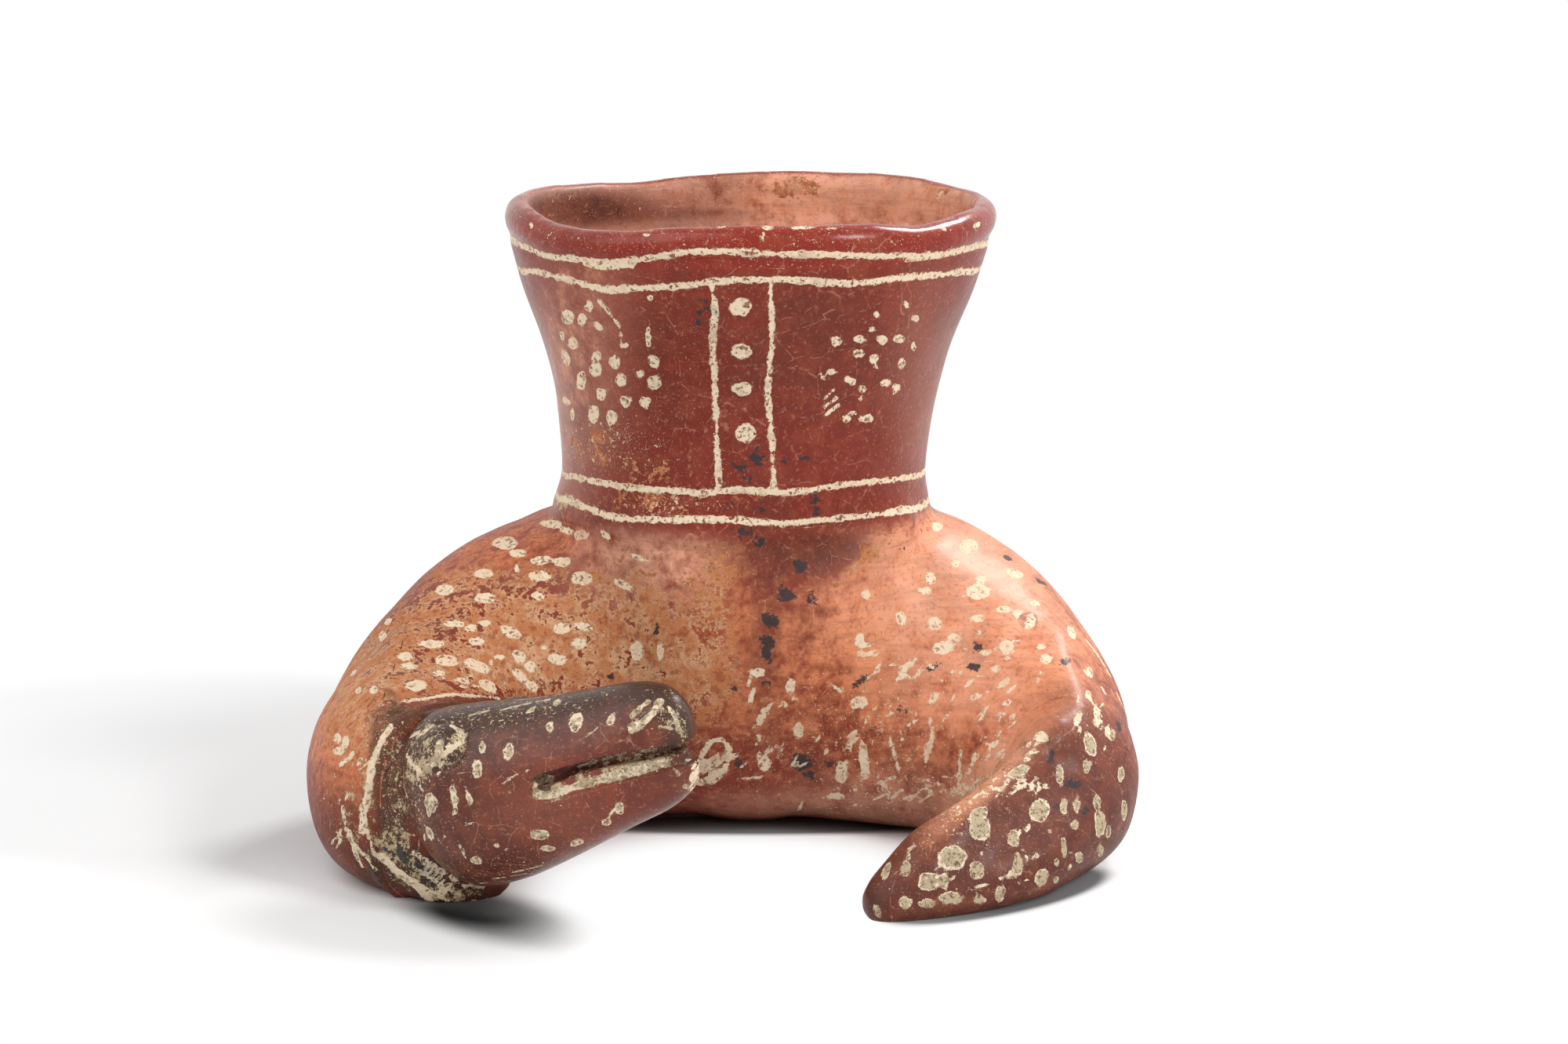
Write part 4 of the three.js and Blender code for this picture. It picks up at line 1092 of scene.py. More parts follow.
def tilted(across, up, tilt):
    """Two axes, or two measures along them, turned by degrees."""
    turn = math.radians(tilt)
    return across * math.cos(turn) + up * math.sin(turn), up * math.cos(turn) - across * math.sin(turn)


def along(points, step=6):
    """Points every few pixels along a smooth curve through given ones."""
    if len(points) == 1:
        return list(points)
    made = []
    for index in range(len(points) - 1):
        gap = math.dist(points[index], points[index + 1])
        count = max(1, round(gap / step))
        made += [tuple(between(points, index + part / count)) for part in range(count)]
    return [*made, points[-1]]


def distance_to_line(places, line):
    """The distance from places to a chain of points in space."""
    nearest = np.full(len(places), np.inf)
    line = [np.array(point) for point in line]
    for start, end in zip(line, line[1:] or line):
        way = end - start
        length = way @ way
        share = np.clip((places - start) @ way / length, 0, 1) if length else np.zeros(len(places))
        nearest = np.minimum(nearest, np.linalg.norm(places - start - share[:, None] * way, axis=1))
    return nearest


def press(piece, strokes):
    """Presses and raises the clay under strokes of the thumb."""
    depsgraph = bpy.context.evaluated_depsgraph_get()
    tree = BVHTree.FromObject(piece, depsgraph)
    places, normals = places_of(piece), normals_of(piece)
    moved = places.copy()
    for reach, amount, points in strokes:
        hits = [cast(tree, *point) for point in along(points, step=25)]
        towards = np.mean([np.array(normal) for _, normal in hits], axis=0)
        towards /= np.linalg.norm(towards)
        away = distance_to_line(places, [place for place, _ in hits])
        share = 1 - np.clip(away / (2 * reach * MM), 0, 1)
        outer = normals @ towards > 0
        moved += (ease(0, 1, share) * outer * amount * MM)[:, None] * towards
    move_to(piece, moved)


def knead(piece, waves):
    """Gives a skin the soft unevenness of hand-built clay."""
    places, normals = places_of(piece), normals_of(piece)
    for size, amount in waves:
        heights = np.array([noise.noise(Vector(place) / size) for place in places])
        places += (heights * amount)[:, None] * normals
    move_to(piece, places)


class Paint:
    """All the finished clay, and the fields of paint, wear, stains and painted light and shade that are
    laid on it.
    """

    SIGNED = ("cream", "stain", "crack")
    SOFT = ("worn", "orange", "brown", "pink", "buff", "soot", "grime", "scrape", "deep", "gloss")
    FAR = -3.0
    # Marks: room, steepest slope, the turn that ends them, and wear.
    MARGIN, STEEPEST, SAME_SIDE, WORN_MIDDLE = 3 * MM, -0.4, 0.2, 1.5
    # Lines: room, widest radius, wear, steepest slope and where they are seen.
    LINE_REACH, LINE_RADIUS, LINE_WORN, LINE_STEEPEST, LINE_SEEN = 4 * MM, 80 * MM, 0.15, 0.9, (0.1, 0.4)
    # How fast and how squarely a patch fades.
    PATCH_FALL, PATCH_POWER = 0.7, 1.5

    def __init__(self, pieces, line):
        self.pieces = pieces
        self.counts = [len(piece.data.vertices) for piece in pieces]
        self.places = np.concatenate([places_of(piece) for piece in pieces])
        self.normals = np.concatenate([normals_of(piece) for piece in pieces])
        faces, start = [], 0
        for piece, count in zip(pieces, self.counts):
            faces += [[index + start for index in face.vertices] for face in piece.data.polygons]
            start += count
        self.tree = BVHTree.FromPolygons(self.places.tolist(), faces)
        self.order = np.argsort(self.places[:, 0])
        self.sorted_across = self.places[self.order, 0]
        self.owner = np.repeat([piece.name.removesuffix("_clay") for piece in pieces], self.counts)
        self.fields = {name: np.full(len(self.places), self.FAR) for name in self.SIGNED}
        self.fields |= {name: np.zeros(len(self.places)) for name in self.SOFT}
        sight = self.places - np.array(CAMERA_PLACE)
        sight /= np.linalg.norm(sight, axis=1)[:, None]
        self.facing = -(sight * self.normals).sum(1)
        self.pixels = to_pixels(self.places)
        self.around = self.places[:, :2] - np.array(NECK_AXIS)[:2]
        self.radius = np.linalg.norm(self.around, axis=1)
        self.outwards = (self.around * self.normals[:, :2]).sum(1) / self.radius
        self.inner = self.outwards < 0
        self.inside = self.facing_line(line)

    def facing_line(self, line, steps=60):
        """A mask of the hollow's clay, which faces the body's line."""
        nearest = np.full(len(self.places), np.inf)
        away = np.zeros_like(self.places)
        for step in range(steps + 1):
            apart = self.places - np.array(line.at(LAST_STATION * step / steps)[0])
            distance = np.linalg.norm(apart, axis=1)
            closer = distance < nearest
            nearest[closer] = distance[closer]
            away[closer] = apart[closer]
        return (away * self.normals).sum(1) < 0

    def owned(self, *nodes):
        """A mask of the vertices of some nodes."""
        return np.isin(self.owner, nodes)

    def near(self, place, reach):
        """The vertices within reach of a place."""
        first, last = np.searchsorted(self.sorted_across, (place[0] - reach, place[0] + reach))
        strip = self.order[first:last]
        return strip[(np.abs(self.places[strip] - place) < reach).all(1)]

    def lay(self, kind, chosen, values, worn):
        """Keeps the stronger of the new and the old mark, with its wear."""
        stronger = values > self.fields[kind][chosen]
        chosen, values = chosen[stronger], values[stronger]
        self.fields[kind][chosen] = values
        if kind == "cream":
            self.fields["worn"][chosen] = worn[stronger] if np.ndim(worn) else worn

    def frame_at(self, x, y):
        """The clay under a pixel, and how it lies along the picture's across and up."""
        place, normal = cast(self.tree, x, y)
        sight = sight_line(x, y)
        scale = (place - CAMERA_PLACE).dot(LOOK) / FOCAL_PIXELS
        slope = min(sight.dot(normal), self.STEEPEST)
        axes = (Vector((1, 0, 0)), LOOK_UP)
        return place, normal, [(axis - sight * (axis.dot(normal) / slope)) * scale for axis in axes]

    def dab(self, kind, place, normal, half_across, half_up, worn):
        """An oval mark in millimetres inside its edge, worn towards its middle."""
        reach = half_across.length + half_up.length + self.MARGIN
        chosen = self.near(np.array(place), reach)
        chosen = chosen[self.normals[chosen] @ np.array(normal) > self.SAME_SIDE]
        offsets = self.places[chosen] - np.array(place)
        first, second = np.array(half_across), np.array(half_up)
        grid = np.array([[first @ first, first @ second], [first @ second, second @ second]])
        shares = np.stack([offsets @ first, offsets @ second], 1) @ np.linalg.inv(grid)
        out = np.linalg.norm(shares, axis=1)
        narrow, wide = sorted((half_across.length, half_up.length))
        scale = (narrow + math.sqrt(narrow * wide)) / 2 / MM
        values = (1 - out) * scale
        wear = np.clip(self.WORN_MIDDLE - self.WORN_MIDDLE * out**2, 0, 1)
        self.lay(kind, chosen, values, worn * wear)

    def dab_at(self, kind, x, y, across, up, tilt=0, worn=0):
        """An oval mark as the photograph shows it."""
        place, normal, axes = self.frame_at(x, y)
        half_across, half_up = tilted(*axes, tilt)
        half_across, half_up = half_across * (across / 2), half_up * (up / 2)
        self.dab(kind, place, normal, half_across, half_up, worn)
        return place, half_across, half_up

    def stroke(self, kind, line, half_width, worn):
        """A brush stroke along points on the clay, for paint, cracks and painted shade."""
        middle = np.mean(line, axis=0)
        reach = np.abs(np.array(line) - middle).max() + half_width + self.MARGIN
        chosen = self.near(middle, reach)
        distance = distance_to_line(self.places[chosen], line)
        self.lay(kind, chosen, (half_width - distance) / MM, worn * np.ones(len(chosen)))

    def stroke_at(self, kind, worn, width, points):
        """A brush stroke as the photograph shows it."""
        line = [np.array(cast(self.tree, *point)[0]) for point in along(points)]
        depth = (Vector(line[0]) - CAMERA_PLACE).dot(LOOK)
        half_width = width / 2 * depth / FOCAL_PIXELS
        self.stroke(kind, line, half_width, worn)
        return line, half_width

    def closed_line(self, points, half_width, wobble):
        """A painted line all round the neck, its back carried on from its two seen ends."""
        turns, heights = [], []
        for point in along(points, step=20):
            place = cast(self.tree, *point)[0] - NECK_AXIS
            turns.append(math.atan2(place.y, place.x) % (2 * math.pi))
            heights.append(place.z)
        turns = np.unwrap(turns)
        mine = np.arctan2(self.around[:, 1], self.around[:, 0]) % (2 * math.pi)
        full = 2 * math.pi
        order = np.argsort(turns % full)
        level = np.interp(mine, turns[order] % full, np.array(heights)[order], period=full)
        seen = ease(*self.LINE_SEEN, self.facing)
        level += (1 - seen) * wobble * np.sin(5 * mine) * np.sin(2 * mine + 1)
        close = np.abs(self.places[:, 2] - level) < self.LINE_REACH
        chosen = np.nonzero(~self.inner & close & (self.radius < self.LINE_RADIUS))[0]
        upright = np.clip(self.normals[chosen, 2], -self.LINE_STEEPEST, self.LINE_STEEPEST)
        level_share = np.sqrt(1 - upright**2)
        values = (half_width - np.abs(self.places[chosen, 2] - level[chosen]) * level_share) / MM
        self.lay("cream", chosen, values, self.LINE_WORN * np.ones(len(chosen)))

    def patch(self, field, x, y, width, height, tilt, strength, mask):
        """A soft patch as the photograph shows it, on the vertices of a mask that face it."""
        across, up = tilted(self.pixels[0] - x, y - self.pixels[1], tilt)
        away = (across / (width / 2)) ** 2 + (up / (height / 2)) ** 2
        weight = np.exp(-self.PATCH_FALL * away**self.PATCH_POWER) * mask
        old = self.fields[field]
        self.fields[field] = old + weight * (strength * (1 - old) if strength > 0 else strength * old)

    def store(self):
        """Writes the fields on to the pieces as attributes."""
        start = 0
        for piece, count in zip(self.pieces, self.counts):
            for name, values in self.fields.items():
                attribute = piece.data.attributes.new(name, "FLOAT", "POINT")
                attribute.data.foreach_set("value", values[start : start + count].astype(np.float32))
            start += count


BODY_NODES = ("left_haunch", "right_haunch", "tail_cone", "throat", "throat_collar")
NECK_NODES = ("neck_fillet", "neck_wall", "rolled_lip")
HEAD_NODES = ("head", "eye_right", "eye_left")


def broad_noise(places, size, seed):
    """Slow noise from 0 to 1 at many places."""
    shift = Vector((seed, 2 * seed, 3 * seed))
    return np.array([0.5 + 0.5 * noise.noise(Vector(place) / size + shift) for place in places])


# Gloss, and how much more the lip has and how much less the bore.
BODY_GLOSS, NECK_GLOSS, HEAD_GLOSS, LIP_GLOSS, BORE_GLOSS = 0.28, 0.6, 0.68, 0.35, 0.35

# Plain slips: thin, rubbed, smoked and scraped. The bore's pink is partly painted light.
BODY_ORANGE, HOLLOW_ORANGE, BORE_PINK, HOLLOW_PINK = 0.2, 0.3, 0.62, 0.6
HEAD_BROWN, TAIL_BROWN, LIP_SCRAPE = 0.85, 0.6, 0.45

# Steps by height, by facing outwards or the camera, and along the tail.
NECK_STEP = (SHOULDER_TOP - 7 * MM, SHOULDER_TOP + 2 * MM)
LIP_STEP = (LIP_SEAM - 1.2 * MM, LIP_SEAM + 0.5 * MM)
LIP_OUTWARDS, DEEP_OUTWARDS, BORE_OUTWARDS = (-0.75, -0.3), (-0.95, -0.3), (0, -0.3)
SEEN_STEP = (-0.25, 0.15)
TAIL_STEP = (15 * MM, -25 * MM)

# Fire clouds on the unseen sides: sizes and seeds of noises, and each field's noise, step and strength.
# The brown has more low down.
CLOUDS = {"wide": (45 * MM, 3), "finer": (22 * MM, 11)}
UNSEEN_LOW = (0.05, 0.3, 0.7)
UNSEEN_FIELDS = {
    "orange": ("wide", 0.35, 0.7, 0.9),
    "brown": ("finer", 0.55, 0.75, 0.5),
    "buff": ("wide", 0.5, 0.2, 0.62),
    "soot": ("finer", 0.62, 0.85, 0.6),
}
UNSEEN_SCRAPE = 0.35


def unseen_tones(paint, body, seen):
    """Fire clouds and erosion on the body where the photograph doesn't show it."""
    fields = paint.fields
    unseen = np.nonzero((body > 0) & (seen < 1))[0]
    clouds = {name: broad_noise(paint.places[unseen], *row) for name, row in CLOUDS.items()}
    share = body[unseen] * (1 - seen[unseen])
    low, high, strength = UNSEEN_LOW
    lowness = (1 - ease(low, high, paint.places[unseen, 2] / RIM_TOP)) * strength
    for field, (cloud, start, end, strength) in UNSEEN_FIELDS.items():
        amount = ease(start, end, clouds[cloud]) * strength
        if field == "brown":
            amount = np.clip(lowness + amount, 0, 1)
        fields[field][unseen] = share * amount
    fields["scrape"][unseen] = share * UNSEEN_SCRAPE


def ground_tones(paint):
    """The slips, the erosion and the fire clouds, with painted light and shade on the front; front from the
    photograph and back in the same manner.
    """
    height = paint.places[:, 2]
    head = paint.owned(*HEAD_NODES)
    neck = ~head * ease(*NECK_STEP, height)
    hollow = ~head * (1 - neck) * paint.inside
    body = ~head * (1 - neck) * ~paint.inside
    lip = neck * ease(*LIP_STEP, height)
    outer_lip = lip * ease(*LIP_OUTWARDS, paint.outwards)
    bore = neck * ease(*BORE_OUTWARDS, paint.outwards) * (1 - outer_lip)
    fields = paint.fields
    fields["gloss"] = BODY_GLOSS * body + NECK_GLOSS * neck + HEAD_GLOSS * head
    fields["gloss"] += LIP_GLOSS * outer_lip - BORE_GLOSS * bore
    fields["orange"] = BODY_ORANGE * body + HOLLOW_ORANGE * hollow
    fields["pink"] = BORE_PINK * bore + HOLLOW_PINK * hollow
    fields["deep"] = outer_lip * ease(*DEEP_OUTWARDS, paint.outwards)
    fields["scrape"] = LIP_SCRAPE * lip
    fields["brown"][head] = HEAD_BROWN
    seen = ease(*SEEN_STEP, paint.facing)
    unseen_tones(paint, body, seen)
    low, high = (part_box("tail_cone")[1].y + step for step in TAIL_STEP)
    tail = body * ease(low, high, paint.places[:, 1]) * (paint.places[:, 0] > 0)
    fields["brown"] = np.maximum(fields["brown"], TAIL_BROWN * tail)
    for mask, table in (
        (neck * ~paint.inner, NECK_PATCHES),
        (body, BODY_PATCHES),
        (head, HEAD_PATCHES),
        (bore, BORE_PATCHES),
    ):
        for field, rows in table.items():
            for row in rows:
                paint.patch(field, *row, mask * seen)


def half_turn(vector):
    """A vector turned half round the neck's axis."""
    return Vector((-vector.x, -vector.y, vector.z))


# How worn each table of dabs is.
NECK_WORN = 0.45
WORN_TABLES = ((LEFT_DABS, 0.35), (RIGHT_DABS, 0.2), (TAIL_DABS, 1.6), (HEAD_DABS, 0.9))
LINE_WOBBLE = 1.2 * MM

# Scratches: ranges of their sizes and wear, and how far their tilt varies.
SCRATCH_LENGTH, SCRATCH_BREADTH, SCRATCH_WORN, SCRATCH_TILT = (5, 20), (2.5, 5), (0, 0.35), 28

# Dabs on the unseen sides: where they start, how many are tried, their gaps, and their sizes and wear.
UNSEEN_FACING, UNSEEN_HEIGHT, UNSEEN_TRIES = -0.12, 6 * MM, 2600
UNSEEN_GAP, UNSEEN_GAP_RANGE = 8.5 * MM, (0.8, 1.5)
UNSEEN_ACROSS, UNSEEN_UP, UNSEEN_WORN, UNSEEN_TILT = (2, 3.3), (1.1, 1.9), (0.1, 0.8), 25
SEED = 7


def paint_neck(paint):
    """The lines, the column of dots and the two clusters, and the same again at the back."""
    for points in NECK_LINES:
        paint.closed_line(points, NECK_LINE_HALF_WIDTH, LINE_WOBBLE)
    marks = [paint.dab_at("cream", *row, worn=NECK_WORN) for row in NECK_DABS]
    for place, half_across, half_up in marks:
        behind = NECK_AXIS + half_turn(place - NECK_AXIS)
        behind, normal, _, _ = paint.tree.find_nearest(behind)
        paint.dab("cream", behind, normal, half_turn(half_across), half_turn(half_up), NECK_WORN)
    for kind, rows in NECK_STROKES.items():
        for worn, width, points in rows:
            line, half_width = paint.stroke_at(kind, worn, width, points)
            behind = [NECK_AXIS + half_turn(Vector(place) - NECK_AXIS) for place in line]
            behind = [np.array(paint.tree.find_nearest(place)[0]) for place in behind]
            paint.stroke(kind, behind, half_width, worn)


def paint_body(paint):
    """The fingertip dabs and the strokes that the photograph shows."""
    for rows, worn in WORN_TABLES:
        for row in rows:
            paint.dab_at("cream", *row, worn=worn)
    for table in (BODY_STROKES, HEAD_STROKES):
        for kind, rows in table.items():
            for row in rows:
                paint.stroke_at(kind, *row)
    for row in STAINS:
        paint.dab_at("stain", *row)


def paint_scratches(paint, rng):
    """The short chalky scratches low on the front, and fine ones at the tail's root."""
    for x, y, width, height, tilt, count in SCRATCH_FIELDS:
        for _ in range(count):
            away, turn = rng.random() ** 0.5, rng.random() * 2 * math.pi
            across = x + away * math.cos(turn) * width / 2
            down = y + away * math.sin(turn) * height / 2
            length, breadth = rng.uniform(*SCRATCH_LENGTH), rng.uniform(*SCRATCH_BREADTH)
            turned = tilt + rng.normal(0, SCRATCH_TILT)
            paint.dab_at("cream", across, down, length, breadth, turned, rng.uniform(*SCRATCH_WORN))


def paint_unseen(paint, rng):
    """Fingertip dabs over the back and the sides, like those that the photograph shows."""
    body = paint.owned(*BODY_NODES, *HEAD_NODES)
    hidden = body & (paint.facing < UNSEEN_FACING) & (paint.places[:, 2] > UNSEEN_HEIGHT)
    placed = []
    for index in rng.choice(np.nonzero(hidden)[0], UNSEEN_TRIES, replace=False):
        place = paint.places[index]
        if any(
            np.linalg.norm(place - other) < UNSEEN_GAP * rng.uniform(*UNSEEN_GAP_RANGE) for other in placed
        ):
            continue
        normal = Vector(paint.normals[index])
        if paint.tree.ray_cast(Vector(place) + normal * MM, normal)[0]:
            continue
        placed.append(place)
        level = normal.cross(Vector((0, 0, 1))).normalized()
        across, up = tilted(level, level.cross(normal), rng.normal(0, UNSEEN_TILT))
        across = across * rng.uniform(*UNSEEN_ACROSS) * MM
        up = up * rng.uniform(*UNSEEN_UP) * MM
        paint.dab("cream", Vector(place), normal, across, up, rng.uniform(*UNSEEN_WORN))


class Value:
    """A socket in a material, so that sums on it read as sums."""

    def __init__(self, recipe, socket):
        self.recipe = recipe
        self.socket = socket

    def _sum(self, operation, first, second):
        return self.recipe.node("Math", {"operation": operation}, {0: first, 1: second})

    def __add__(self, other):
        return self._sum("ADD", self, other)

    def __sub__(self, other):
        return self._sum("SUBTRACT", self, other)

    def __rsub__(self, other):
        return self._sum("SUBTRACT", other, self)

    def __mul__(self, other):
        return self._sum("MULTIPLY", self, other)

    __radd__ = __add__
    __rmul__ = __mul__


class Recipe:
    """The nodes of one material, or of a world."""

    def __init__(self, holder):
        self.holder = holder
        holder.use_nodes = True
        self.tree = holder.node_tree
        self.tree.nodes.clear()

    def node(self, kind, settings=None, values=None, out=0):
        """Adds a node with its settings and its sockets' values or links, and gives one output."""
        made = self.tree.nodes.new("ShaderNode" + kind)
        for name, value in (settings or {}).items():
            setattr(made, name, value)
        for name, value in (values or {}).items():
            if isinstance(value, Value):
                self.tree.links.new(value.socket, made.inputs[name])
            else:
                made.inputs[name].default_value = value
        return Value(self, made.outputs[out]) if made.outputs else None

    def place(self):
        """Object coordinates, in metres."""
        return self.node("TexCoord", out="Object")

    def field(self, name):
        """A field that was laid on the clay."""
        return self.node("Attribute", {"attribute_name": name}, out="Fac")

    def grain(self, size, detail, roughness, place=None):
        """Noise with features of a size."""
        values = {"Vector": place or self.place(), "Scale": 1 / size}
        values |= {"Detail": detail, "Roughness": roughness}
        return self.node("TexNoise", {}, values, out="Fac")

    def ramp(self, value, low, high):
        """A smooth step from 0 at low to 1 at high."""
        settings = {"interpolation_type": "SMOOTHSTEP"}
        return self.node("MapRange", settings, {"Value": value, "From Min": low, "From Max": high})

    def blend(self, factor, first, second, kind="MIX"):
        """Mixes two colours."""
        settings = {"data_type": "RGBA", "blend_type": kind}
        mix = {"Factor": factor, 6: first, 7: second}
        return self.node("Mix", settings, mix, out=2)

    def finish(self, shader, kind="Material"):
        """Links the shader to the output."""
        self.node("Output" + kind, {}, {"Surface": shader}, out=None)
        return self.holder


# Noises of the clay: size in millimetres, detail and roughness. Streaks lie level in the slip.
NOISES = {
    "wide": (28, 3, 0.55),
    "mottle": (6, 5, 0.62),
    "ragged": (2.3, 4, 0.6),
    "speck": (1.1, 3, 0.6),
    "fine": (0.45, 2, 0.6),
    "streak": (16, 4, 0.6),
}
STREAK_STRETCH = (1, 1, 9)

# Where each field shows: its step, and how far the noises swing its edge.
FIELD_STEPS = {
    "orange": (0.1, 0.95, {"mottle": 1.5, "ragged": 0.9}),
    "brown": (0.05, 0.95, {"mottle": 0.7}),
    "buff": (0.42, 0.52, {"mottle": 1.6, "ragged": 1.5, "speck": 1.2}),
    "soot": (0.22, 0.95, {"mottle": 0.8, "ragged": 0.5}),
    "grime": (0.44, 0.62, {"ragged": 1.5, "fine": 0.9}),
    "stain": (-0.2, 0.7, {"mottle": 6.0, "ragged": 6.4, "speck": 3.2}),
    "cream": (-0.08, 0.22, {"mottle": 2.0, "ragged": 2.3, "speck": 1.0}),
    "worn": (0.45, 0.85, {"ragged": 3.4, "speck": 2.4}),
    "crack": (-0.05, 0.12, {"fine": 0.4}),
}

# Fields that leave the clay alone where they are weaker than this step.
FIELD_FLOORS = {"buff": (0.02, 0.15), "grime": (0.03, 0.15), "scrape": (0.02, 0.2)}

# Layers: the colour, the noise that it follows, the noise's step and the strength.
SLIP_LAYERS = (
    ("smoke_and_shade", "wide", 0.48, 0.7, 0.24),
    ("brown", "streak", 0.45, 0.7, 0.25),
    ("orange", "mottle", 0.55, 0.36, 0.07),
    ("brown", "speck", 0.54, 0.68, 0.35),
    ("pink", "speck", 0.42, 0.3, 0.18),
    ("buff", "fine", 0.62, 0.74, 0.25),
)
BARE_LAYERS = (
    ("ochre", "mottle", 0.38, 0.6, 1),
    ("red", "ragged", 0.5, 0.64, 0.55),
    ("smoke_and_shade", "speck", 0.58, 0.68, 0.3),
    ("cream", "fine", 0.58, 0.68, 0.25),
)
CHALK_LAYERS = (("worn", "speck", 0.35, 0.65, 1),)
CHIP_LAYERS = (("cream", "ragged", 0.4, 0.6, 1),)
PAINT_LAYERS = (("ochre", "speck", 0.52, 0.66, 0.3),)

# Hairlines in the slip: their cells, their drift and the steps that draw and break them.
CRAZE_CELL, CRAZE_DRIFT_SIZE, CRAZE_DRIFT = 11 * MM, 7 * MM, 3 * MM
CRAZE_STEP, CRAZE_BREAKS = (0.016, 0.003), (0.45, 0.6)

# Steps and swings of rubbed slip and of painted light, pits, flecks, and chipped and thin paint.
RUBBED_AND_LIT_STEP = (0.2, 0.6)
PIT_STEP, PIT_SWING = (0.55, 0.64), 0.8
FLECK_STEP, FLECK_SWINGS = (0.72, 0.78), {"speck": 0.16, "fine": 0.12}
CHIPPED_STEP, CHIPPED_SWING, CHIPPED_SHARE = (0.58, 0.7), 0.9, 0.75
THIN_STEP, THIN_SHARE = (0.52, 0.7), 0.35

# How far each mark covers what lies under it.
COVER = {
    "craze": 0.25, "bare": 0.92, "soot": 0.85, "chalk": 0.9, "chip": 0.8, "stain": 0.92,
    "worn": 0.75, "pit": 0.6, "paint": 0.94, "crack": 0.85,
}  # fmt: skip

# How marks and noises raise the clay, the noises more where it is dull.
RAISED = {"painted": 0.1, "eroded_and_highlit": -0.14, "chalky": 0.14, "flecks": 0.05, "cracked": -0.35}
RELIEF = {"ragged": (0.08, 0.3), "fine": (0.04, 0.12), "mottle": (0.25, 0), "streak": (0.1, 0)}
BUMP_STRENGTH, BUMP_HEIGHT = 0.8, 1 * MM

# Roughness of the slip and what changes it, and its shine.
ROUGHNESS, GLOSS_SMOOTHS, MOTTLE_ROUGHENS, DULL_ROUGHENS, STAIN_ROUGHENS = 0.58, 0.36, 0.3, 0.3, 0.1
SPECULAR, COAT, COAT_ROUGHNESS, COAT_IOR = 0.16, 0.24, 0.16, 1.4


class Clay(Recipe):
    """The nodes of burnished clay: its noises, its fields and layers of colour."""

    def __init__(self, name, colours):
        super().__init__(bpy.data.materials.new(name))
        self.colours = colours
        level = self.node("Mapping", {}, {"Vector": self.place(), "Scale": STREAK_STRETCH})
        self.noises = {
            kind: self.grain(size * MM, detail, roughness, level if kind == "streak" else None)
            for kind, (size, detail, roughness) in NOISES.items()
        }

    def tint(self, name):
        """A property's colour as a socket takes it."""
        return (*getattr(self.colours, name), 1)

    def step(self, kind, low, high):
        """A smooth step on a noise."""
        return self.ramp(self.noises[kind], low, high)

    def uneven(self, value, **swings):
        """A value that the noises swing up and down."""
        for kind, swing in swings.items():
            value = value + (self.noises[kind] - 0.5) * swing
        return value

    def shown(self, field):
        """Where a field shows, with its edge broken by the noises."""
        low, high, swings = FIELD_STEPS[field]
        shown = self.ramp(self.uneven(self.field(field), **swings), low, high)
        return self.cleared(shown, field) if field in FIELD_FLOORS else shown

    def cleared(self, value, field):
        """A value, but nothing where a field is weak."""
        return value * self.ramp(self.field(field), *FIELD_FLOORS[field])

    def layered(self, tone, layers):
        """A tone under layers of colour."""
        for name, kind, low, high, strength in layers:
            tone = self.blend(self.step(kind, low, high) * strength, tone, self.tint(name))
        return tone


def crazed(clay):
    """Hairlines between the cells of the slip, warped and broken."""
    drift = clay.node("TexNoise", {}, {"Vector": clay.place(), "Scale": 1 / CRAZE_DRIFT_SIZE}, out="Color")
    drift = clay.node("VectorMath", {"operation": "SCALE"}, {0: drift, "Scale": CRAZE_DRIFT})
    warped = clay.node("VectorMath", {"operation": "ADD"}, {0: clay.place(), 1: drift})
    values = {"Vector": warped, "Scale": 1 / CRAZE_CELL}
    hair = clay.node("TexVoronoi", {"feature": "DISTANCE_TO_EDGE"}, values)
    return clay.ramp(hair, *CRAZE_STEP) * clay.step("ragged", *CRAZE_BREAKS)


def slip_tone(clay):
    """The colour of the slip, fired unevenly, with painted light and shade where the pink, orange and brown
    fields carry it.
    """
    tone = clay.blend(clay.shown("orange"), clay.tint("red"), clay.tint("orange"))
    tone = clay.blend(clay.field("pink") * clay.step("mottle", *RUBBED_AND_LIT_STEP), tone, clay.tint("pink"))
    tone = clay.blend(clay.shown("brown"), tone, clay.tint("brown"))
    tone = clay.blend(clay.field("deep"), tone, clay.tint("deep"))
    tone = clay.layered(tone, SLIP_LAYERS)
    return clay.blend(crazed(clay) * COVER["craze"], tone, clay.tint("pink"))


def paint_tone(clay):
    """The colour of the paint, worn thin and pitted."""
    worn = clay.shown("worn")
    tone = clay.blend(worn * COVER["worn"], clay.tint("cream"), clay.tint("worn"))
    tone = clay.layered(tone, PAINT_LAYERS)
    pitted = clay.ramp(clay.uneven(clay.noises["fine"], speck=PIT_SWING), *PIT_STEP) * worn
    return clay.blend(pitted * COVER["pit"], tone, clay.tint("smoke_and_shade"))


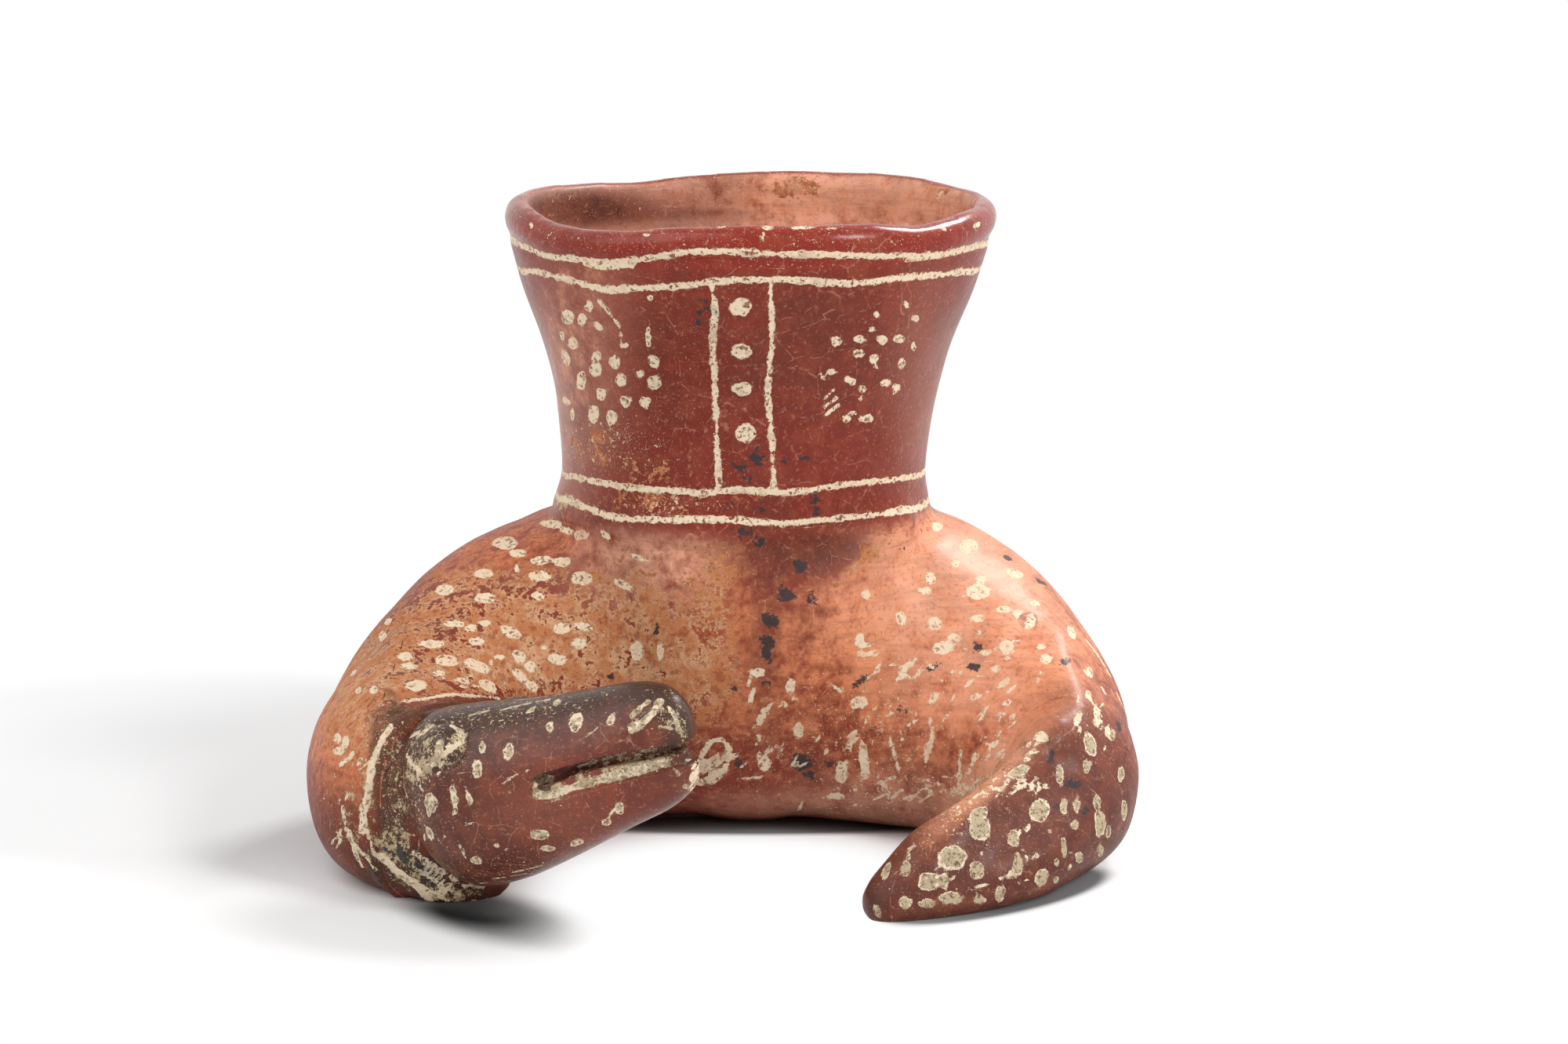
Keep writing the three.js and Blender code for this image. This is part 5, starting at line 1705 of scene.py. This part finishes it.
def slipped_clay(name, colours):
    """Burnished slip on buff clay, with paint, chalk, fire clouds, wear and painted light and shade where
    the fields say.
    """
    clay = Clay(name, colours)
    eroded_and_highlit, chalky, stained, crack = (clay.shown(field) for field in ("buff", "grime", "stain", "crack"))
    flecks = 0.0
    for kind, swing in FLECK_SWINGS.items():
        flecks = clay.ramp(clay.noises[kind] + clay.field("scrape") * swing, *FLECK_STEP) + flecks
    flecks = clay.cleared(flecks, "scrape")
    chipped = clay.ramp(clay.uneven(clay.noises["speck"], ragged=CHIPPED_SWING), *CHIPPED_STEP)
    painted = clay.shown("cream") * (1 - chipped * CHIPPED_SHARE)
    painted = painted * (1 - clay.step("mottle", *THIN_STEP) * THIN_SHARE)

    tone = slip_tone(clay)
    # The bare-clay layer also paints highlights on lit ridges, the dark layer paints shade in creases and
    # hollows besides fire clouds, and the line layer paints shade in pits besides cracks.
    for share, cover, over in (
        (eroded_and_highlit, "bare", clay.layered(clay.tint("buff"), BARE_LAYERS)),
        (clay.shown("soot"), "soot", clay.tint("smoke_and_shade")),
        (chalky, "chalk", clay.layered(clay.tint("grime"), CHALK_LAYERS)),
        (flecks, "chip", clay.layered(clay.tint("buff"), CHIP_LAYERS)),
        (stained, "stain", clay.tint("stain")),
        (painted, "paint", paint_tone(clay)),
        (crack, "crack", clay.tint("smoke_and_shade")),
    ):
        tone = clay.blend(share * COVER[cover], tone, over)

    dull = 1 - (1 - painted) * (1 - eroded_and_highlit) * (1 - chalky)
    gloss = clay.field("gloss")
    rough = clay.uneven(ROUGHNESS - gloss * GLOSS_SMOOTHS, mottle=MOTTLE_ROUGHENS)
    rough = rough + dull * DULL_ROUGHENS + stained * STAIN_ROUGHENS
    height = 0.0
    marks = {"painted": painted, "eroded_and_highlit": eroded_and_highlit, "chalky": chalky, "flecks": flecks, "cracked": crack}
    for mark, amount in RAISED.items():
        height = marks[mark] * amount + height
    for kind, (plain, more) in RELIEF.items():
        height = height + (clay.noises[kind] - 0.5) * (dull * more + plain)
    bump_values = {"Height": height, "Strength": BUMP_STRENGTH, "Distance": BUMP_HEIGHT}
    shader_values = {
        "Base Color": tone,
        "Roughness": rough,
        "Specular IOR Level": SPECULAR,
        "Coat Weight": gloss * COAT * (1 - dull),
        "Coat Roughness": COAT_ROUGHNESS,
        "Coat IOR": COAT_IOR,
        "Normal": clay.node("Bump", {}, bump_values),
    }
    return clay.finish(clay.node("BsdfPrincipled", {}, shader_values))


def seen_straight(recipe):
    """1 for the rays that show the background: the camera's, and those off polish and through glass."""
    rays = [recipe.node("LightPath", out=f"Is {kind} Ray") for kind in ("Camera", "Glossy", "Transmission")]
    return recipe.node("Math", {"operation": "MINIMUM"}, {0: rays[0] + rays[1] + rays[2], 1: 1.0})


def paper_oval(recipe, x, y, length, turn=0.0, slimness=1.0, softness=0.25):
    """1 in an oval on the paper, falling softly to 0 round it."""
    shifted = recipe.node("VectorMath", {"operation": "SUBTRACT"}, {0: recipe.place(), 1: (x, y, 0)})
    turning = {"Vector": shifted, "Angle": -math.radians(turn)}
    turned = recipe.node("VectorRotate", {"rotation_type": "Z_AXIS"}, turning)
    scaled = recipe.node("VectorMath", {"operation": "MULTIPLY"}, {0: turned, 1: (1, slimness, 1)})
    away = recipe.node("VectorMath", {"operation": "LENGTH"}, {0: scaled}, out="Value")
    return recipe.ramp(away, length * (1 + softness), length * (1 - softness))


def white_paper():
    """White paper that shows the jar's shadow near it, darkened more by painted shadows and cleared by a
    painted glow between the arms, and runs out to pure white.
    """
    recipe = Recipe(bpy.data.materials.new("white_paper"))
    far = 1 - paper_oval(recipe, *PAPER_NEAR)
    between_arms = paper_oval(recipe, *PAPER_CLEARED)
    # Painted shadows, which darken the paper's colour.
    shade = 0.0
    for strength, place in PAPER_SHADES:
        shade = paper_oval(recipe, *place) * strength + shade
    paper = recipe.node("BsdfDiffuse", {}, {"Color": (PAPER_TONE, PAPER_TONE, PAPER_TONE, 1)})
    near = recipe.node("BsdfDiffuse", {}, {"Color": recipe.blend(shade, WHITE, BLACK)})
    shine = recipe.node("Emission", {}, {"Color": WHITE})
    # The glow between the arms is painted light over the jar's shade.
    cleared = (far + between_arms) * (1 - shade)
    shown = recipe.node("MixShader", {}, {0: cleared, 1: near, 2: shine})
    return recipe.finish(recipe.node("MixShader", {}, {0: seen_straight(recipe), 1: paper, 2: shown}))


def light_world(scene):
    """A plain pale studio all round, white to the camera."""
    scene.world = bpy.data.worlds.new("studio")
    recipe = Recipe(scene.world)
    dim = recipe.node("Background", {}, {"Color": WHITE, "Strength": WORLD_LIGHT})
    shown = recipe.node("Background", {}, {"Color": WHITE, "Strength": 1.0})
    recipe.finish(recipe.node("MixShader", {}, {0: seen_straight(recipe), 1: dim, 2: shown}), "World")


class JAR_OT_form_skin(bpy.types.Operator):
    """Model the hollow body and neck as one skin of clay"""

    bl_idname = "jar.form_skin"
    bl_label = "Form the Skin"

    def execute(self, context):
        sizes = context.scene.jar_body
        neck = context.scene.jar_neck
        line = BodyLine(sizes)
        body = line.length(BODY_FORM, 0, LAST_STATION)
        belly = stretched("belly", belly_rings(sizes, neck, 0, SHOULDER_TOP + sizes.ground_flat))
        throat = throat_form(line, sizes)
        collar = collar_form(line, sizes)
        for form in (belly, throat):
            cut(body, form, "UNION")
        apply_modifier(body, "REMESH", mode="VOXEL", voxel_size=sizes.coarse_grain)
        near, far = sizes.half_width / 2, sizes.half_width
        fill_creases(body, NECK_AXIS, neck.foot_radius + near, neck.foot_radius + far)
        fill_creases(body, arm_end(line)[0], near, far, rounds=30)
        apply_modifier(body, "SUBSURF", levels=1, render_levels=1)
        cut(body, collar, "UNION")
        remove(belly, throat, collar)
        skin = duplicate(body, SKIN)
        hollow = line.length("hollow", 0, TAIL_HOLLOW_STATION, sizes.wall)
        above = SHOULDER_TOP + 2 * sizes.wall
        belly_hollow = stretched("belly_hollow", belly_rings(sizes, neck, sizes.wall, above))
        cut(hollow, belly_hollow, "UNION")
        cut(skin, hollow, "DIFFERENCE")
        wall = spun("neck_form", neck_profile(neck))
        wave_rim(wall, neck)
        cut(skin, wall, "UNION")
        ground = level_block(-LEVEL_BLOCK)
        remove(hollow, belly_hollow, wall)
        apply_modifier(skin, "REMESH", mode="VOXEL", voxel_size=sizes.grain)
        apply_modifier(skin, "SMOOTH", factor=0.5, iterations=9)
        press(skin, BODY_PRESSES)
        knead(skin, KNEADING)
        cut(skin, ground, "DIFFERENCE")
        cut(body, ground, "DIFFERENCE")
        remove(ground)
        return {"FINISHED"}


class JAR_OT_cut_neck(bpy.types.Operator):
    """Cut the lip, the neck and the fillet at its foot from the skin"""

    bl_idname = "jar.cut_neck"
    bl_label = "Neck and Lip"

    def execute(self, context):
        neck = context.scene.jar_neck
        skin = bpy.data.objects[SKIN]
        lip = split(skin, level_block(LIP_SEAM), "rolled_lip_clay")
        inner = neck.foot_radius - FILLET_CUT_INSIDE
        outer = FILLET_HIGH.x - NECK_AXIS.x + FILLET_CUT_OUTSIDE
        low, high = FILLET_LOW.z, FILLET_HIGH.z
        ring = spun("fillet_cutter", [(inner, low), (outer, low), (outer, high), (inner, high)])
        fillet = split(skin, ring, "neck_fillet_clay")
        wall = split(skin, level_block(SHOULDER_TOP), "neck_wall_clay")
        settle(lip, "rolled_lip", "red_slip")
        settle(fillet, "neck_fillet", "red_slip")
        settle(wall, "neck_wall", "red_slip")
        return {"FINISHED"}


class JAR_OT_cut_body(bpy.types.Operator):
    """Cut the haunches, the tail, the throat and its collar from the skin"""

    bl_idname = "jar.cut_body"
    bl_label = "Haunches, Tail and Throat"

    def execute(self, context):
        line = BodyLine(context.scene.jar_body)
        skin = bpy.data.objects[SKIN]
        middle, out, _ = arm_end(line)
        sides = [line.ring(0, -COLLAR_REACH, side) for side in COLLAR_SIDES]
        collar_ring = stretched("collar_ring", sides)
        sides = [line.ring(0, COLLAR_CORE_INSET, side) for side in COLLAR_CORE_SIDES]
        core = stretched("collar_core", sides)
        cut(collar_ring, core, "DIFFERENCE")
        remove(core)
        collar = split(skin, collar_ring, "throat_collar_clay")
        throat = split(skin, block(middle, out, THROAT_BLOCK), "throat_clay")
        knee, heading, _ = line.at(KNEE_STATION)
        tail = split(skin, block(knee, heading, KNEE_BLOCK), "tail_cone_clay")
        middle_block = block(NECK_AXIS, Vector((1, 0, 0)), MIDDLE_BLOCK)
        right = split(skin, middle_block, "right_haunch_clay")
        left = duplicate(skin, "left_haunch_clay")
        remove(skin)
        settle(left, "left_haunch", "orange_slip")
        settle(right, "right_haunch", "orange_slip")
        settle(tail, "tail_cone", "brown_slip")
        settle(throat, "throat", "smoked_slip")
        settle(collar, "throat_collar", "orange_slip")
        return {"FINISHED"}


class JAR_OT_model_head(bpy.types.Operator):
    """Model the head with its mouth and the pellets of its eyes"""

    bl_idname = "jar.model_head"
    bl_label = "Head and Eyes"

    def execute(self, context):
        sizes = context.scene.jar_head
        line = BodyLine(context.scene.jar_body)
        head = stretched(HEAD_FORM, head_rings(sizes, line))
        ledge_depth = sizes.mouth_depth * LEDGE_DEPTH_SHARE
        for shares, depth in ((MOUTH_SHARES, sizes.mouth_depth), (LEDGE_SHARES, ledge_depth)):
            mouth = mouth_form(sizes, line, shares, depth)
            cut(head, mouth, "DIFFERENCE")
            remove(mouth)
        for name in EYE_PLACES:
            groove = eye_groove(sizes, line, name)
            cut(head, groove, "DIFFERENCE")
            ball = eye_ball(sizes, line, name)
            cut(head, ball, "UNION")
            remove(groove, ball)
        apply_modifier(head, "REMESH", mode="VOXEL", voxel_size=sizes.grain)
        apply_modifier(head, "SMOOTH", factor=0.5, iterations=6)
        body = bpy.data.objects[BODY_FORM]
        cut(head, body, "DIFFERENCE")
        remove(body)
        for name in EYE_PLACES:
            ball = eye_ball(sizes, line, name, EYE_CUT_OVER)
            core = stretched("eye_core", head_rings(sizes, line, -EYE_CUT_UNDER))
            cut(ball, core, "DIFFERENCE")
            remove(core)
            eye = split(head, ball, name + "_clay")
            settle(eye, name, "smoked_slip")
        settle(head, "head", "smoked_slip")
        return {"FINISHED"}


class JAR_OT_paint_jar(bpy.types.Operator):
    """Lay the slips, the paint and the wear on the clay, and give each slot its material"""

    bl_idname = "jar.paint_jar"
    bl_label = "Paint and Finish"

    def execute(self, context):
        pieces = [bpy.data.objects[node + "_clay"] for node in (*NECK_NODES, *BODY_NODES, *HEAD_NODES)]
        paint = Paint(pieces, BodyLine(context.scene.jar_body))
        rng = np.random.default_rng(SEED)
        ground_tones(paint)
        paint_neck(paint)
        paint_body(paint)
        paint_scratches(paint, rng)
        paint_unseen(paint, rng)
        paint.store()
        for piece in pieces:
            name = "burnished_" + piece["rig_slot"]
            if name not in bpy.data.materials:
                slipped_clay(name, context.scene.jar_colours)
            piece.data.materials.clear()
            piece.data.materials.append(bpy.data.materials[name])
        return {"FINISHED"}


class JAR_OT_set_stage(bpy.types.Operator):
    """Set a white floor, soft lamps and the photograph's camera"""

    bl_idname = "jar.set_stage"
    bl_label = "Stage"

    def execute(self, context):
        scene = context.scene
        deselect()
        bpy.ops.mesh.primitive_plane_add(size=FLOOR_SIZE, location=(0, 0, 0))
        floor = context.object
        floor.name = "floor"
        floor.data.materials.append(white_paper())
        light_world(scene)
        data = bpy.data.cameras.new("photo_camera")
        data.sensor_width = SENSOR_WIDTH
        data.lens = FOCAL_PIXELS / PHOTO_WIDTH * SENSOR_WIDTH
        camera = bpy.data.objects.new("photo_camera", data)
        camera.location = CAMERA_PLACE
        camera.rotation_euler = (math.pi / 2 - CAMERA_PITCH, 0, 0)
        scene.collection.objects.link(camera)
        scene.camera = camera
        scene.view_settings.view_transform = "Standard"
        for name, place, size, power in LAMPS:
            lamp = bpy.data.lights.new(name, "AREA")
            lamp.size = size
            lamp.energy = power
            thing = bpy.data.objects.new(name, lamp)
            thing.location = place
            thing.rotation_euler = (LAMPS_AIM - Vector(place)).to_track_quat("-Z", "Y").to_euler()
            scene.collection.objects.link(thing)
        return {"FINISHED"}


class JAR_PT_panel(bpy.types.Panel):
    """The jar's operators and sizes"""

    bl_idname = "JAR_PT_panel"
    bl_label = "Effigy Jar"
    bl_space_type = "VIEW_3D"
    bl_region_type = "UI"
    bl_category = "Effigy Jar"

    def draw(self, context):
        for operator in OPERATORS:
            self.layout.operator(operator.bl_idname)
        for group in (context.scene.jar_body, context.scene.jar_neck, context.scene.jar_head):
            for name in group.__annotations__:
                self.layout.prop(group, name)


GROUPS = {
    "jar_body": JarBodySizes,
    "jar_neck": JarNeckSizes,
    "jar_head": JarHeadSizes,
    "jar_colours": JarColours,
}
OPERATORS = (
    JAR_OT_form_skin,
    JAR_OT_cut_neck,
    JAR_OT_cut_body,
    JAR_OT_model_head,
    JAR_OT_paint_jar,
    JAR_OT_set_stage,
)


def register():
    """Adds the property groups, the operators and the panel."""
    for name, group in GROUPS.items():
        bpy.utils.register_class(group)
        setattr(bpy.types.Scene, name, PointerProperty(type=group))
    for operator in (*OPERATORS, JAR_PT_panel):
        bpy.utils.register_class(operator)


def unregister():
    """Takes away what register added."""
    for operator in (JAR_PT_panel, *reversed(OPERATORS)):
        bpy.utils.unregister_class(operator)
    for name, group in reversed(GROUPS.items()):
        delattr(bpy.types.Scene, name)
        bpy.utils.unregister_class(group)


def main():
    """Builds the whole scene."""
    register()
    for operator in OPERATORS:
        group, name = operator.bl_idname.split(".")
        getattr(getattr(bpy.ops, group), name)()


if __name__ == "__main__":
    main()
